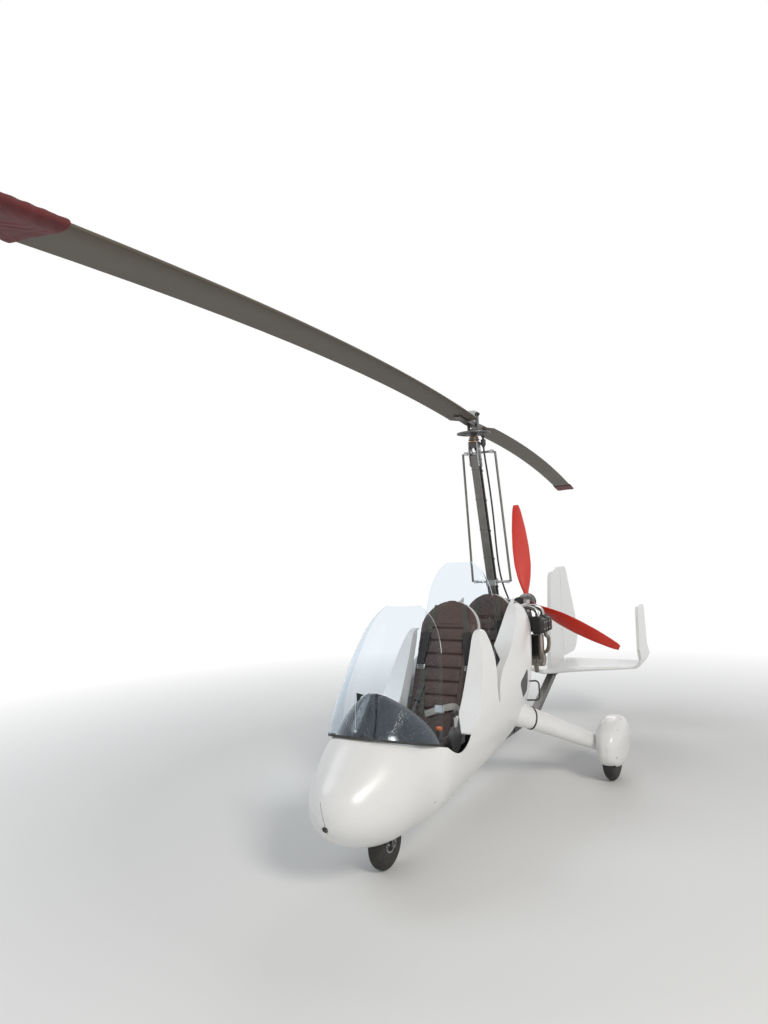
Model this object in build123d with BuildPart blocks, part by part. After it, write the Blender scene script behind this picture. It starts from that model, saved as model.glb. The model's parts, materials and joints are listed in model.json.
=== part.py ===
from build123d import *
import math
import os

# Two-seat tandem gyrocopter. Millimetres, nose towards -Y, port side +X, up +Z.
# The origin is on the ground under the rotor hub.

os.makedirs("parts", exist_ok=True)

# Clearances
RUN = 0.05
SEAT = 0.3
MOVE = 6.0

# Pod: y, half width, belly height, height of the widest line, crown height, fullness of the upper half
POD_WALL = 8.0
POD_ROWS = [
    (-2150, 24, 420, 445, 475, 2.0),
    (-2138, 74, 388, 446, 530, 2.0),
    (-2104, 130, 345, 450, 586, 2.0),
    (-2034, 188, 295, 458, 650, 2.0),
    (-1920, 252, 243, 482, 740, 2.0),
    (-1780, 304, 208, 512, 830, 2.0),
    (-1500, 360, 194, 560, 960, 2.0),
    (-1200, 368, 213, 592, 1140, 2.0),
    (-800, 372, 257, 640, 1400, 2.0),
    (-400, 366, 301, 682, 1480, 2.2),
    (0, 340, 345, 800, 1450, 3.0),
    (260, 287, 385, 950, 1390, 3.2),
    (480, 216, 430, 1000, 1290, 3.4),
]
POD_REAR = 480.0
NOSE_ROUND = -1800.0
NOSE_LENGTH = 350.0
ARC_STEPS = (20, 45, 90, 135, 160)

# Sill line of the two cockpits, seen from the side
RIM_FRONT_Y = -1870.0
RIM_FRONT_Z = 790.0
RIM_SLOPE = -0.2756
RIM_END_Y = -1455.0
SCALLOP_LOW = (-1310.0, 610.0)
SCALLOP_END = (-1120.0, 668.0)
SHOULDER_TOP = (-640.0, 1232.0)
NOTCH = (-671.0, 765.0)
REAR_RIM_MID = (-380.0, 1030.0)
REAR_RIM_TOP = (20.0, 1330.0)
REAR_RIM_END = (150.0, 1385.0)
CUT_HEIGHT = 1700.0
REAR_OPENING_HALF = 245.0
REAR_OPENING_END = 322.0
REAR_OPENING_CORNER = 90.0
REAR_OPENING_LENGTH = 800.0
REAR_OPENING_LOW = 1250.0
SILL_AHEAD = 90.0

# White linings inside the sills
TUB_T = 7.0
TUB_DROP = (4.2, -5.6)
TUB_GAP = 4.0

# Dark inlet panel in each flank: corners seen from the side
SCOOP_CORNERS = [(-222, 806), (20, 890), (-38, 722), (-170, 692)]
SCOOP_CORNER_R = 30.0
SCOOP_DEPTH = 2.5
SCOOP_T = 9.5

# Windshields: height, half width, front y, rear y
GLASS = 4.0
FRONT_GLASS_ROWS = [
    (640, 331, -1874, -1462),
    (800, 333, -1862, -1456),
    (1000, 312, -1722, -1392),
    (1200, 272, -1560, -1305),
    (1350, 210, -1420, -1256),
    (1445, 112, -1320, -1246),
]
REAR_GLASS_ROWS = [
    (1160, 276, -556, -440),
    (1300, 270, -502, -405),
    (1450, 242, -470, -385),
    (1590, 184, -450, -375),
    (1674, 90, -425, -368),
]
GASKET_T = 16.0
GASKET_H = 14.0

# Seats: points of the visible face, from the side
SEAT_HALF = 215.0
REAR_SEAT_HALF = 200.0
SEAT_NARROW = 30.0
SEAT_SHOULDER = 190.0
CUSHION = 42.0
SHELL = 8.0
SHELL_EDGE = 2.0
FRONT_SEAT_FOOT = (-960.0, 552.0)
FRONT_SEAT_TOP = (-530.0, 1420.0)
REAR_SEAT_FOOT = (-110.0, 620.0)
REAR_SEAT_TOP = (170.0, 1415.0)
PAN_LENGTH = 340.0
PAN_RISE = 40.0
PAN_UNDER = 34.0
PAN_HALF = 165.0

# Keel, mast
KEEL = 60.0
KEEL_Z = 285.0
KEEL_FRONT = -1150.0
KEEL_BEND = 1105.0
KEEL_REAR = (1773.0, 575.0)
MAST = 64.0
MAST_WALL = 4.0
MAST_LEAN = 13.3
MAST_REACH = 2300.0

# Rotor
ROTOR_R = 4300.0
ROTOR_PSI = 6.87
HUB_Z = 2706.0
TEETER_Z = HUB_Z + 84
RING_Z = HUB_Z - 66
PIVOT_Z = HUB_Z - 150
MAST_TOP = (8.0, HUB_Z - 226)
BLADE_CHORD = 200.0
BLADE_THICK = 22.0
CONE = 0.0329
TEETER_REST = 0.0208
DROOP = 300.0
BLADE_ROOT = 200.0
BLADE_STATIONS = (BLADE_ROOT, 430.0, 0.3 * ROTOR_R, 0.55 * ROTOR_R, 0.78 * ROTOR_R, ROTOR_R)
ROOT_CUT = (272.0, 36.0)
STRAP_START = 120.0
STRAP_END = 430.0
STRAP_T = 6.0
STRAP_W = 52.0
RING_R = 125.0
RING_T = 10.0
SOCK_START = ROTOR_R - 250
SOCK_END = ROTOR_R + 32

# Propeller
PROP_Y = 1050.0
PROP_Z = 1267.0
PROP_TURN = -4.05
PROP_SHAFT_R = 28.0
PROP_SHAFT = 130.0
BLADE_COUNT = 3

# Wheels
TRACK = 812.0
MAIN_Y = 445.0
MAIN_R = 178.0
MAIN_W = 98.0
MAIN_RIM = 76.0
SPAT_X = 822.0
NOSE_Y = -1580.0
NOSE_R = 150.0
NOSE_W = 88.0
NOSE_RIM = 54.0
AXLE_R = 12.0
TOW_R = 6.0

# Tail
TAIL_Z = 590.0
TAIL_HALF = 778.0
TAIL_LE = 1400.0
TAIL_KINK = (250.0, 1612.0)
TAIL_TIP_LE = 1858.0
TAIL_TE = 2290.0
TAIL_T = 46.0
TAIL_TIP_T = 30.0
PLATE_T = 26.0
PLATE_TOP = 1160.0
PLATE_BEND = 75.0
PLATE_LE = (1800.0, 1815.0)
PLATE_TE = (2170.0, 2110.0)
HINGE_Y = 2050.0
FIN_TOP = 1530.0


def across(y):
    return Plane.XZ.offset(-y)


# One closed outline across the pod: half an ellipse below, a fuller curve above
def pod_outline(row, inset, y):
    half, low, wide, top, full = row[1] - inset, row[2] + inset, row[3], row[4] - inset, row[5]
    crown = []
    for a in ARC_STEPS:
        c = math.cos(math.radians(a))
        s = math.sin(math.radians(a))
        crown.append((math.copysign(half * abs(c) ** (2 / full), c), wide + (top - wide) * s ** (2 / full)))
    with BuildSketch(across(y)) as outline:
        with BuildLine():
            EllipticalCenterArc((0, wide), half, wide - low, start_angle=180, arc_size=180)
            Spline([(half, wide)] + crown + [(-half, wide)], tangents=[(0, 1), (0, -1)])
        make_face()
    return outline.sketch


def save(piece, name):
    piece.part.label = name
    export_step(piece.part, "parts/" + name + ".step")


with BuildPart() as pod_outer:
    loft([pod_outline(row, 0, row[0]) for row in POD_ROWS])



# The inner skin follows every row of the outer one and draws back a little in the nose
def inner_y(y):
    return min(y + POD_WALL * max(0, (NOSE_ROUND - y) / NOSE_LENGTH), POD_REAR - POD_WALL)


with BuildPart() as pod_inner:
    loft([pod_outline(row, POD_WALL, inner_y(row[0])) for row in POD_ROWS])

mast_lean = math.radians(MAST_LEAN)
mast_plane = Plane(origin=(0, MAST_TOP[0], MAST_TOP[1]), x_dir=(1, 0, 0),
                   z_dir=(0, -math.sin(mast_lean), math.cos(mast_lean)))

with BuildPart() as mast_body:
    with BuildSketch(mast_plane):
        RectangleRounded(MAST, MAST, 6)
        RectangleRounded(MAST - 2 * MAST_WALL, MAST - 2 * MAST_WALL, 3, mode=Mode.SUBTRACT)
    extrude(amount=-MAST_REACH)
    split(bisect_by=Plane.XY.offset(KEEL_Z + KEEL / 2), keep=Keep.TOP)

with BuildPart() as mast_space:
    with BuildSketch(mast_plane):
        Rectangle(MAST + 2 * SEAT, MAST + 2 * SEAT)
    extrude(amount=-MAST_REACH)

save(mast_body, "mast")

# Keel tube: level under the belly, then rising to the tail
keel_angle = math.atan2(KEEL_REAR[1] - KEEL_Z, KEEL_REAR[0] - KEEL_BEND)


def keel_side(extra):
    h = (KEEL / 2 + extra)
    turn = h * math.tan(keel_angle / 2)
    c = math.cos(keel_angle)
    s = math.sin(keel_angle)
    with BuildSketch(Plane.YZ) as side:
        with BuildLine():
            Polyline(
                (KEEL_FRONT - extra, KEEL_Z - h),
                (KEEL_BEND + turn, KEEL_Z - h),
                (KEEL_REAR[0] + h * s, KEEL_REAR[1] - h * c),
                (KEEL_REAR[0] - h * s, KEEL_REAR[1] + h * c),
                (KEEL_BEND - turn, KEEL_Z + h),
                (KEEL_FRONT - extra, KEEL_Z + h),
                close=True,
            )
        make_face()
    return side.sketch


with BuildPart() as keel_boom:
    extrude(keel_side(0), amount=KEEL / 2, both=True)
    split(bisect_by=Plane.XY.offset(TAIL_Z - TAIL_T / 2), keep=Keep.BOTTOM)

with BuildPart() as keel_space:
    extrude(keel_side(SEAT), amount=KEEL / 2 + SEAT, both=True)

save(keel_boom, "keel_boom")

# Pod shell
WELL = (105.0, -1765.0, -1400.0, 368.0)


def sill_outline():
    z_rear = RIM_FRONT_Z + RIM_SLOPE * (RIM_END_Y - RIM_FRONT_Y)
    front = RIM_FRONT_Y - SILL_AHEAD
    with BuildSketch(Plane.YZ) as sill:
        with BuildLine():
            Line((front, RIM_FRONT_Z - RIM_SLOPE * SILL_AHEAD), (RIM_END_Y, z_rear))
            ThreePointArc((RIM_END_Y, z_rear), SCALLOP_LOW, SCALLOP_END)
            Spline(SCALLOP_END, (-1000, 742), (-880, 900), (-745, 1150), SHOULDER_TOP, tangents=[(1, 0.45), (1, 0.1)])
            Spline(SHOULDER_TOP, (-614, 1190), (-650, 900), NOTCH, tangents=[(1, -0.1), (0, -1)])
            Spline(NOTCH, (-640, 806), REAR_RIM_MID, REAR_RIM_TOP, REAR_RIM_END, tangents=[(1, 0), (1, 0.2)])
            Polyline(REAR_RIM_END, (REAR_RIM_END[0], CUT_HEIGHT), (front, CUT_HEIGHT),
                     (front, RIM_FRONT_Z - RIM_SLOPE * SILL_AHEAD))
        make_face()
    return sill.sketch


def scoop_outline(grow):
    with BuildSketch(Plane.YZ) as panel:
        with BuildLine():
            Polyline(SCOOP_CORNERS, close=True)
        make_face()
        fillet(panel.vertices(), SCOOP_CORNER_R)
        offset(amount=grow)
    return panel.sketch


sill_space = extrude(sill_outline(), amount=600, both=True)
with BuildPart() as pod_shell:
    add(pod_outer.part)
    add(pod_inner.part, mode=Mode.SUBTRACT)
    add(sill_space, mode=Mode.SUBTRACT)
    with BuildSketch(Plane.XY.offset(REAR_OPENING_LOW)):
        with Locations((0, REAR_OPENING_END - REAR_OPENING_LENGTH / 2)):
            RectangleRounded(2 * REAR_OPENING_HALF, REAR_OPENING_LENGTH, REAR_OPENING_CORNER)
    extrude(amount=300, mode=Mode.SUBTRACT)
    add(mast_space.part, mode=Mode.SUBTRACT)
    add(keel_space.part, mode=Mode.SUBTRACT)
    with BuildSketch(Plane.XY.offset(100)):
        with Locations((0, (WELL[1] + WELL[2]) / 2)):
            RectangleRounded(2 * WELL[0], WELL[2] - WELL[1], 60)
    extrude(amount=230, mode=Mode.SUBTRACT)
    extrude(scoop_outline(0), amount=600, both=True, mode=Mode.SUBTRACT)

save(pod_shell, "pod_shell")

# Inlet panels, set back a little in the pod's skin
with BuildPart() as scoop_skin:
    loft([pod_outline(row, SCOOP_DEPTH, row[0]) for row in POD_ROWS[8:12]])
with BuildPart() as scoop_back:
    loft([pod_outline(row, SCOOP_DEPTH + SCOOP_T, row[0]) for row in POD_ROWS[8:12]])
with BuildPart() as side_scoops:
    extrude(scoop_outline(-SEAT), amount=600, both=True)
    add(scoop_skin.part, mode=Mode.INTERSECT)
    add(scoop_back.part, mode=Mode.SUBTRACT)
save(side_scoops, "side_scoops")


# Width of the free space between the linings, seen from above, along the pod
TUB_PLAN = [
    (-1300, 330),
    (-1120, 292),
    (-985, SEAT_HALF + TUB_GAP),
    (-600, SEAT_HALF + TUB_GAP),
    (-560, 300),
    (-430, 296),
    (-300, REAR_SEAT_HALF + TUB_GAP),
    (240, REAR_SEAT_HALF + TUB_GAP),
]

# White linings: a band that turns inwards under the sill, and a side wall beside each seat
with BuildPart() as cockpit_tub:
    add(pod_inner.part)
    add(sill_space.moved(Location((0, TUB_DROP[0], TUB_DROP[1]))), mode=Mode.INTERSECT)
    with BuildSketch(Plane.XY):
        with BuildLine():
            Polyline([(half, y) for y, half in TUB_PLAN] + [(-half, y) for y, half in reversed(TUB_PLAN)], close=True)
        make_face()
    extrude(amount=CUT_HEIGHT, mode=Mode.SUBTRACT)
    split(bisect_by=Plane.XZ.offset(1115), keep=Keep.BOTTOM)
    split(bisect_by=Plane.XZ.offset(-REAR_RIM_END[0]), keep=Keep.TOP)
    with BuildSketch(Plane.YZ.offset(SEAT_HALF + TUB_GAP)):
        Polygon((-1100, 560), (-928, 560), (-662, 1160), (-640, 1260), (-760, 1260), (-1100, 720), align=None)
    extrude(amount=TUB_T)
    with BuildSketch(Plane.YZ.offset(-SEAT_HALF - TUB_GAP)):
        Polygon((-1100, 560), (-928, 560), (-662, 1160), (-640, 1260), (-760, 1260), (-1100, 720), align=None)
    extrude(amount=-TUB_T)
    with BuildSketch(Plane.YZ.offset(REAR_SEAT_HALF + TUB_GAP)):
        Polygon((-300, 660), (-108, 660), (145, 1380), (145, 1440), (-300, 1150), align=None)
    extrude(amount=TUB_T)
    with BuildSketch(Plane.YZ.offset(-REAR_SEAT_HALF - TUB_GAP)):
        Polygon((-300, 660), (-108, 660), (145, 1380), (145, 1440), (-300, 1150), align=None)
    extrude(amount=-TUB_T)
    add(sill_space, mode=Mode.SUBTRACT)
save(cockpit_tub, "cockpit_tub")


# One level ring of a windshield, open towards the rear
def glass_ring(row, out, wall):
    z, half, front, rear = row[0], row[1] + out, row[2] - out, row[3]
    with BuildSketch(Plane.XY.offset(z)) as ring:
        with BuildLine():
            EllipticalCenterArc((0, rear), half, rear - front, start_angle=180, arc_size=180)
            Line((half, rear), (half - wall, rear))
            EllipticalCenterArc((0, rear), half - wall, rear - front - wall, start_angle=180, arc_size=180)
            Line((-half + wall, rear), (-half, rear))
        make_face()
    return ring.sketch


# Everything below the slanted rim plane, raised by lift
def below_rim(lift):
    with BuildSketch(Plane.YZ) as side:
        with BuildLine():
            Polyline(
                (-2100, RIM_FRONT_Z + RIM_SLOPE * (-2100 - RIM_FRONT_Y) + lift),
                (-1300, RIM_FRONT_Z + RIM_SLOPE * (-1300 - RIM_FRONT_Y) + lift),
                (-1300, 0), (-2100, 0), close=True,
            )
        make_face()
    return extrude(side.sketch, amount=600, both=True)


rim_cut = below_rim(SEAT)
gasket_cut = below_rim(GASKET_H)

with BuildPart() as front_windshield:
    loft([glass_ring(row, 0, GLASS) for row in FRONT_GLASS_ROWS])
    add(rim_cut, mode=Mode.SUBTRACT)
save(front_windshield, "front_windshield")

with BuildPart() as rear_windshield:
    loft([glass_ring(row, 0, GLASS) for row in REAR_GLASS_ROWS])
save(rear_windshield, "rear_windshield")

# Black rubber at the foot of the front windshield
with BuildPart() as front_gasket:
    loft([glass_ring(row, 4, GASKET_T) for row in FRONT_GLASS_ROWS[:3]])
    add(rim_cut, mode=Mode.SUBTRACT)
    add(gasket_cut, mode=Mode.INTERSECT)
    add(front_windshield.part, mode=Mode.SUBTRACT)

# Instrument cowl: a hollow quarter dome inside the windshield's foot, with the panel set back in its open rear
COWL_WALL = 4.0
PANEL_T = 4.0
PANEL_SET_BACK = 34.0
COWL_ROWS = [
    (640, 324, -1862, -1470),
    (800, 262, -1812, -1500),
    (900, 170, -1745, -1560),
    (960, 90, -1700, -1610),
    (990, 30, -1670, -1640),
]


def cowl_outline(row, wall, behind):
    z, half, front, rear = row[0] - wall, row[1] - wall, row[2] + wall, row[3]
    with BuildSketch(Plane.XY.offset(z)) as level:
        with BuildLine():
            EllipticalCenterArc((0, rear), half, rear - front, start_angle=180, arc_size=180)
            Polyline((half, rear), (half, rear + behind), (-half, rear + behind), (-half, rear))
        make_face()
    return level.sketch


with BuildPart() as cowl_space:
    loft([glass_ring(row, 60, 60 + GASKET_T + SEAT - 4) for row in FRONT_GLASS_ROWS[:3]])
with BuildPart() as cowl_inside:
    loft([cowl_outline(row, COWL_WALL, 12) for row in COWL_ROWS])
with BuildPart() as instrument_cowl:
    loft([cowl_outline(row, 0, 2) for row in COWL_ROWS])
    add(cowl_inside.part, mode=Mode.SUBTRACT)
    add(rim_cut, mode=Mode.SUBTRACT)
    add(cowl_space.part, mode=Mode.SUBTRACT)

panel_low = COWL_ROWS[0]
panel_high = COWL_ROWS[-1]
with BuildPart() as panel:
    with BuildSketch(Plane.YZ):
        Polygon((panel_low[3] - PANEL_SET_BACK - PANEL_T, panel_low[0]), (panel_low[3] - PANEL_SET_BACK, panel_low[0]),
                (panel_high[3] - PANEL_SET_BACK, panel_high[0]),
                (panel_high[3] - PANEL_SET_BACK - PANEL_T, panel_high[0]), align=None)
    extrude(amount=400, both=True)
    add(cowl_inside.part, mode=Mode.INTERSECT)
    add(rim_cut, mode=Mode.SUBTRACT)
    add(cowl_space.part, mode=Mode.SUBTRACT)
with BuildPart() as cowl_with_panel:
    add(instrument_cowl.part)
    add(panel.part)
save(cowl_with_panel, "instrument_cowl")


# Seat back seen square on: narrow at the pan, wide at the shoulders, round on top
def seat_back_outline(plane, length, half, extra):
    shoulder = length - SEAT_SHOULDER
    foot = half - SEAT_NARROW
    with BuildSketch(plane) as outline:
        with BuildLine():
            Line((-foot - extra, 0), (foot + extra, 0))
            Line((foot + extra, 0), (half + extra, shoulder))
            ThreePointArc((half + extra, shoulder), (0, length + extra), (-half - extra, shoulder))
            Line((-half - extra, shoulder), (-foot - extra, 0))
        make_face()
    return outline.sketch


def seat_plane(foot, top, back):
    length = math.hypot(top[0] - foot[0], top[1] - foot[1])
    dy = (top[0] - foot[0]) / length
    dz = (top[1] - foot[1]) / length
    return Plane(origin=(0, foot[0] + back * dz, foot[1] - back * dy), x_dir=(1, 0, 0), z_dir=(0, -dz, dy)), length


front_cushion_plane, front_back_length = seat_plane(FRONT_SEAT_FOOT, FRONT_SEAT_TOP, CUSHION)
front_shell_plane, front_back_length = seat_plane(FRONT_SEAT_FOOT, FRONT_SEAT_TOP, CUSHION + SHELL)
rear_cushion_plane, rear_back_length = seat_plane(REAR_SEAT_FOOT, REAR_SEAT_TOP, CUSHION)
rear_shell_plane, rear_back_length = seat_plane(REAR_SEAT_FOOT, REAR_SEAT_TOP, CUSHION + SHELL)


def pan_side(foot, lift, thick):
    with BuildSketch(Plane.YZ) as side:
        with BuildLine():
            Polyline(
                (foot[0] + PAN_UNDER, foot[1] - lift),
                (foot[0] - PAN_LENGTH, foot[1] - lift + PAN_RISE),
                (foot[0] - PAN_LENGTH, foot[1] - lift + PAN_RISE - thick),
                (foot[0] + PAN_UNDER, foot[1] - lift - thick),
                close=True,
            )
        make_face()
    return side.sketch


with BuildPart() as front_seat_cushion:
    extrude(seat_back_outline(front_cushion_plane, front_back_length, SEAT_HALF, 0), amount=CUSHION)
    extrude(pan_side(FRONT_SEAT_FOOT, 0, CUSHION), amount=PAN_HALF, both=True)
with BuildPart() as front_seat_shell:
    extrude(seat_back_outline(front_shell_plane, front_back_length, SEAT_HALF, SHELL_EDGE), amount=SHELL)
    extrude(pan_side((FRONT_SEAT_FOOT[0] + SHELL, FRONT_SEAT_FOOT[1]), CUSHION, SHELL), amount=PAN_HALF, both=True)
    add(front_seat_cushion.part, mode=Mode.SUBTRACT)
with BuildPart() as rear_seat_cushion:
    extrude(seat_back_outline(rear_cushion_plane, rear_back_length, REAR_SEAT_HALF, 0), amount=CUSHION)
    extrude(pan_side(REAR_SEAT_FOOT, 0, CUSHION), amount=PAN_HALF, both=True)
with BuildPart() as rear_seat_shell:
    extrude(seat_back_outline(rear_shell_plane, rear_back_length, REAR_SEAT_HALF, SHELL_EDGE), amount=SHELL)
    extrude(pan_side((REAR_SEAT_FOOT[0] + SHELL, REAR_SEAT_FOOT[1]), CUSHION, SHELL), amount=PAN_HALF, both=True)
    add(rear_seat_cushion.part, mode=Mode.SUBTRACT)
    add(mast_space.part, mode=Mode.SUBTRACT)

# Rubber between the front seat's shell and the rear windshield
with BuildPart() as rear_gasket:
    extrude(seat_back_outline(front_shell_plane, front_back_length, SEAT_HALF, SHELL_EDGE), amount=-30)
    extrude(seat_back_outline(front_shell_plane, front_back_length, SEAT_HALF, -18), amount=-30, mode=Mode.SUBTRACT)
    split(bisect_by=Plane.XY.offset(REAR_GLASS_ROWS[0][0]), keep=Keep.TOP)
    add(rear_windshield.part, mode=Mode.SUBTRACT)
    add(pod_shell.part, mode=Mode.SUBTRACT)
    add(cockpit_tub.part, mode=Mode.SUBTRACT)
with BuildPart() as windshield_gaskets:
    add(front_gasket.part)
    add(rear_gasket.part)
save(windshield_gaskets, "windshield_gaskets")

# Cabin floor with a box under each seat
FLOOR_T = 8.0
FLOOR_TOP = KEEL_Z + KEEL / 2 + FLOOR_T + 2 * SEAT
with BuildPart() as cockpit_floor:
    with Locations((0, -720, KEEL_Z + KEEL / 2 + FLOOR_T / 2 + SEAT)):
        Box(480, 1340, FLOOR_T)
    with Locations((0, FRONT_SEAT_FOOT[0] - PAN_LENGTH / 2, 400)):
        Box(2 * PAN_HALF - 40, PAN_LENGTH - 40, 400)
    with Locations((0, REAR_SEAT_FOOT[0] - PAN_LENGTH / 2, 400)):
        Box(2 * PAN_HALF - 40, PAN_LENGTH - 40, 500)
    add(pod_inner.part, mode=Mode.INTERSECT)
    add(keel_space.part, mode=Mode.SUBTRACT)
    add(mast_space.part, mode=Mode.SUBTRACT)
    for foot in (FRONT_SEAT_FOOT, REAR_SEAT_FOOT):
        extrude(pan_side((foot[0] + SHELL, foot[1]), CUSHION + SHELL, -400), amount=PAN_HALF, both=True, mode=Mode.SUBTRACT)
save(cockpit_floor, "cockpit_floor")
save(front_seat_cushion, "front_seat_cushion")
save(rear_seat_cushion, "rear_seat_cushion")
with BuildPart() as seat_shells:
    add(front_seat_shell.part)
    add(rear_seat_shell.part)
save(seat_shells, "seat_shells")


# Tyre and rim turned about the wheel's own axis
def tyre_profile(radius, width, rim):
    half = width / 2
    lip = half - 14
    with BuildSketch(Plane.XZ) as profile:
        with BuildLine():
            Line((-lip, rim), (lip, rim))
            Line((lip, rim), (lip, rim + 10))
            ThreePointArc((lip, rim + 10), (half, (rim + radius) / 2 + 6), (half - 16, radius - 8))
            ThreePointArc((half - 16, radius - 8), (0, radius), (-half + 16, radius - 8))
            ThreePointArc((-half + 16, radius - 8), (-half, (rim + radius) / 2 + 6), (-lip, rim + 10))
            Line((-lip, rim + 10), (-lip, rim))
        make_face()
    return profile.sketch


def rim_profile(width, rim):
    half = width / 2 - 14
    with BuildSketch(Plane.XZ) as profile:
        with BuildLine():
            Polyline(
                (-half - 8, rim + 9), (-half - 4, rim + 9), (-half, rim), (half, rim), (half + 4, rim + 9),
                (half + 8, rim + 9), (half + 8, rim - 6), (8, rim - 8), (8, 24), (half - 2, 22), (half - 2, AXLE_R + RUN),
                (-half + 2, AXLE_R + RUN), (-half + 2, 22), (-8, 24), (-8, rim - 8), (-half - 8, rim - 6), close=True,
            )
        make_face()
    return profile.sketch


def wheel(x, y, radius, width, rim):
    with BuildPart() as tyre:
        revolve(tyre_profile(radius, width, rim), axis=Axis.X)
    with BuildPart() as disc:
        revolve(rim_profile(width, rim), axis=Axis.X)
    place = Location((x, y, radius))
    return tyre.part.moved(place), disc.part.moved(place)


for name, x, y, radius, width, rim in (
    ("nose", 0, NOSE_Y, NOSE_R, NOSE_W, NOSE_RIM),
    ("port", TRACK, MAIN_Y, MAIN_R, MAIN_W, MAIN_RIM),
    ("starboard", -TRACK, MAIN_Y, MAIN_R, MAIN_W, MAIN_RIM),
):
    tyre_solid, rim_solid = wheel(x, y, radius, width, rim)
    with BuildPart() as wheel_tyre:
        add(tyre_solid)
    with BuildPart() as wheel_rim:
        add(rim_solid)
    save(wheel_tyre, name + "_tyre")
    save(wheel_rim, name + "_rim")

# Nose fork: two blades, crown, stem and a hollow axle that takes a tow bar's pins
FORK_IN = NOSE_W / 2 + 9
FORK_T = 8.0
CROWN_Z = 2 * NOSE_R + 14
STEM_R = 15.0
STEM_TOP = 520.0
with BuildPart() as nose_fork:
    with BuildSketch(Plane.YZ.offset(FORK_IN)):
        with BuildLine():
            Polyline((NOSE_Y - 24, NOSE_R), (NOSE_Y - 20, CROWN_Z + 14), (NOSE_Y + 20, CROWN_Z + 14), (NOSE_Y + 24, NOSE_R))
            ThreePointArc((NOSE_Y + 24, NOSE_R), (NOSE_Y, NOSE_R - 24), (NOSE_Y - 24, NOSE_R))
        make_face()
    extrude(amount=FORK_T)
    mirror(about=Plane.YZ)
    with Locations((0, NOSE_Y, CROWN_Z + 7)):
        Box(2 * FORK_IN, 40, 14)
    with Locations((0, NOSE_Y, (CROWN_Z + STEM_TOP) / 2)):
        Cylinder(STEM_R, STEM_TOP - CROWN_Z)
    with Locations(Location((0, NOSE_Y, NOSE_R), (0, 90, 0))):
        Cylinder(AXLE_R, 2 * (FORK_IN + FORK_T) + 12)
        Cylinder(TOW_R, 2 * (FORK_IN + FORK_T) + 12, mode=Mode.SUBTRACT)
save(nose_fork, "nose_fork")

# Wheel well over the nose wheel, with the steering head on its roof
WELL_T = 3.0
with BuildPart() as nose_wheel_well:
    with BuildSketch(Plane.XY.offset(150)):
        with Locations((0, (WELL[1] + WELL[2]) / 2)):
            RectangleRounded(2 * (WELL[0] - SEAT), WELL[2] - WELL[1] - 2 * SEAT, 60)
    extrude(amount=WELL[3] - 150)
    with BuildSketch(Plane.XY.offset(100)):
        with Locations((0, (WELL[1] + WELL[2]) / 2)):
            RectangleRounded(2 * (WELL[0] - SEAT - WELL_T), WELL[2] - WELL[1] - 2 * SEAT - 2 * WELL_T, 57)
    extrude(amount=WELL[3] - WELL_T - 100, mode=Mode.SUBTRACT)
    with Locations((0, NOSE_Y, WELL[3])):
        Cylinder(STEM_R + MOVE, 40, mode=Mode.SUBTRACT)
    add(pod_outer.part, mode=Mode.INTERSECT)
save(nose_wheel_well, "nose_wheel_well")

HEAD_H = 110.0
with BuildPart() as steering_head:
    with Locations((0, NOSE_Y, WELL[3] + HEAD_H / 2)):
        Cylinder(STEM_R + 12, HEAD_H)
    with Locations((0, NOSE_Y, WELL[3] + 4)):
        Box(120, 90, 8)
    with Locations((0, NOSE_Y, WELL[3] + HEAD_H / 2)):
        Cylinder(STEM_R + RUN, HEAD_H + 2, mode=Mode.SUBTRACT)

# Spats and main gear legs
SPAT_ROWS = [
    (195, 20, 34, 262),
    (215, 54, 84, 268),
    (290, 90, 142, 278),
    (450, 106, 178, 288),
    (600, 92, 152, 292),
    (710, 54, 92, 296),
    (770, 16, 28, 300),
]
SPAT_FULL = 3.0
SPAT_WALL = 6.0
SPAT_FLOOR = 122.0
SLOT_W = MAIN_W + 14
SLOT_LENGTH = 2 * MAIN_R + 20


def spat_outline(y, half_w, half_h, z):
    points = []
    for a in range(0, 360, 30):
        c = math.cos(math.radians(a))
        s = math.sin(math.radians(a))
        points.append((SPAT_X + math.copysign(half_w * abs(c) ** (2 / SPAT_FULL), c),
                       z + math.copysign(half_h * abs(s) ** (2 / SPAT_FULL), s)))
    with BuildSketch(across(y)) as outline:
        with BuildLine():
            Spline(points, periodic=True)
        make_face()
    return outline.sketch


def spat_form(inset):
    rows = [row for row in SPAT_ROWS if row[1] > inset + 16]
    with BuildPart() as form:
        loft([spat_outline(y, half_w - inset, half_h - inset, z) for y, half_w, half_h, z in rows])
    return form.part


spat_outer = spat_form(0)
with BuildPart() as port_spat:
    add(spat_outer)
    add(spat_form(SPAT_WALL), mode=Mode.SUBTRACT)
    split(bisect_by=Plane.XY.offset(SPAT_FLOOR), keep=Keep.TOP)
    with BuildSketch(Plane.XY):
        with Locations((TRACK, MAIN_Y)):
            RectangleRounded(SLOT_W, SLOT_LENGTH, SLOT_W / 2 - 1)
    extrude(amount=MAIN_R, mode=Mode.SUBTRACT)
    with Locations(Location((TRACK, MAIN_Y, MAIN_R), (0, 90, 0))):
        Cylinder(MAIN_R + 10, MAIN_W + 18, mode=Mode.SUBTRACT)
    with Locations(Location((TRACK - 70, MAIN_Y, MAIN_R), (0, 90, 0))):
        Cylinder(AXLE_R + SEAT, 80, mode=Mode.SUBTRACT)

LEG_ROOT = (236.0, -150.0, 596.0)
LEG_RING = (347.0, -36.0, 526.0)
LEG_END = (775.0, 445.0, 240.0)
LEG_ROOT_SIZE = (250.0, 190.0)
LEG_RING_SIZE = (200.0, 142.0)
LEG_END_SIZE = (116.0, 96.0)


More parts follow.
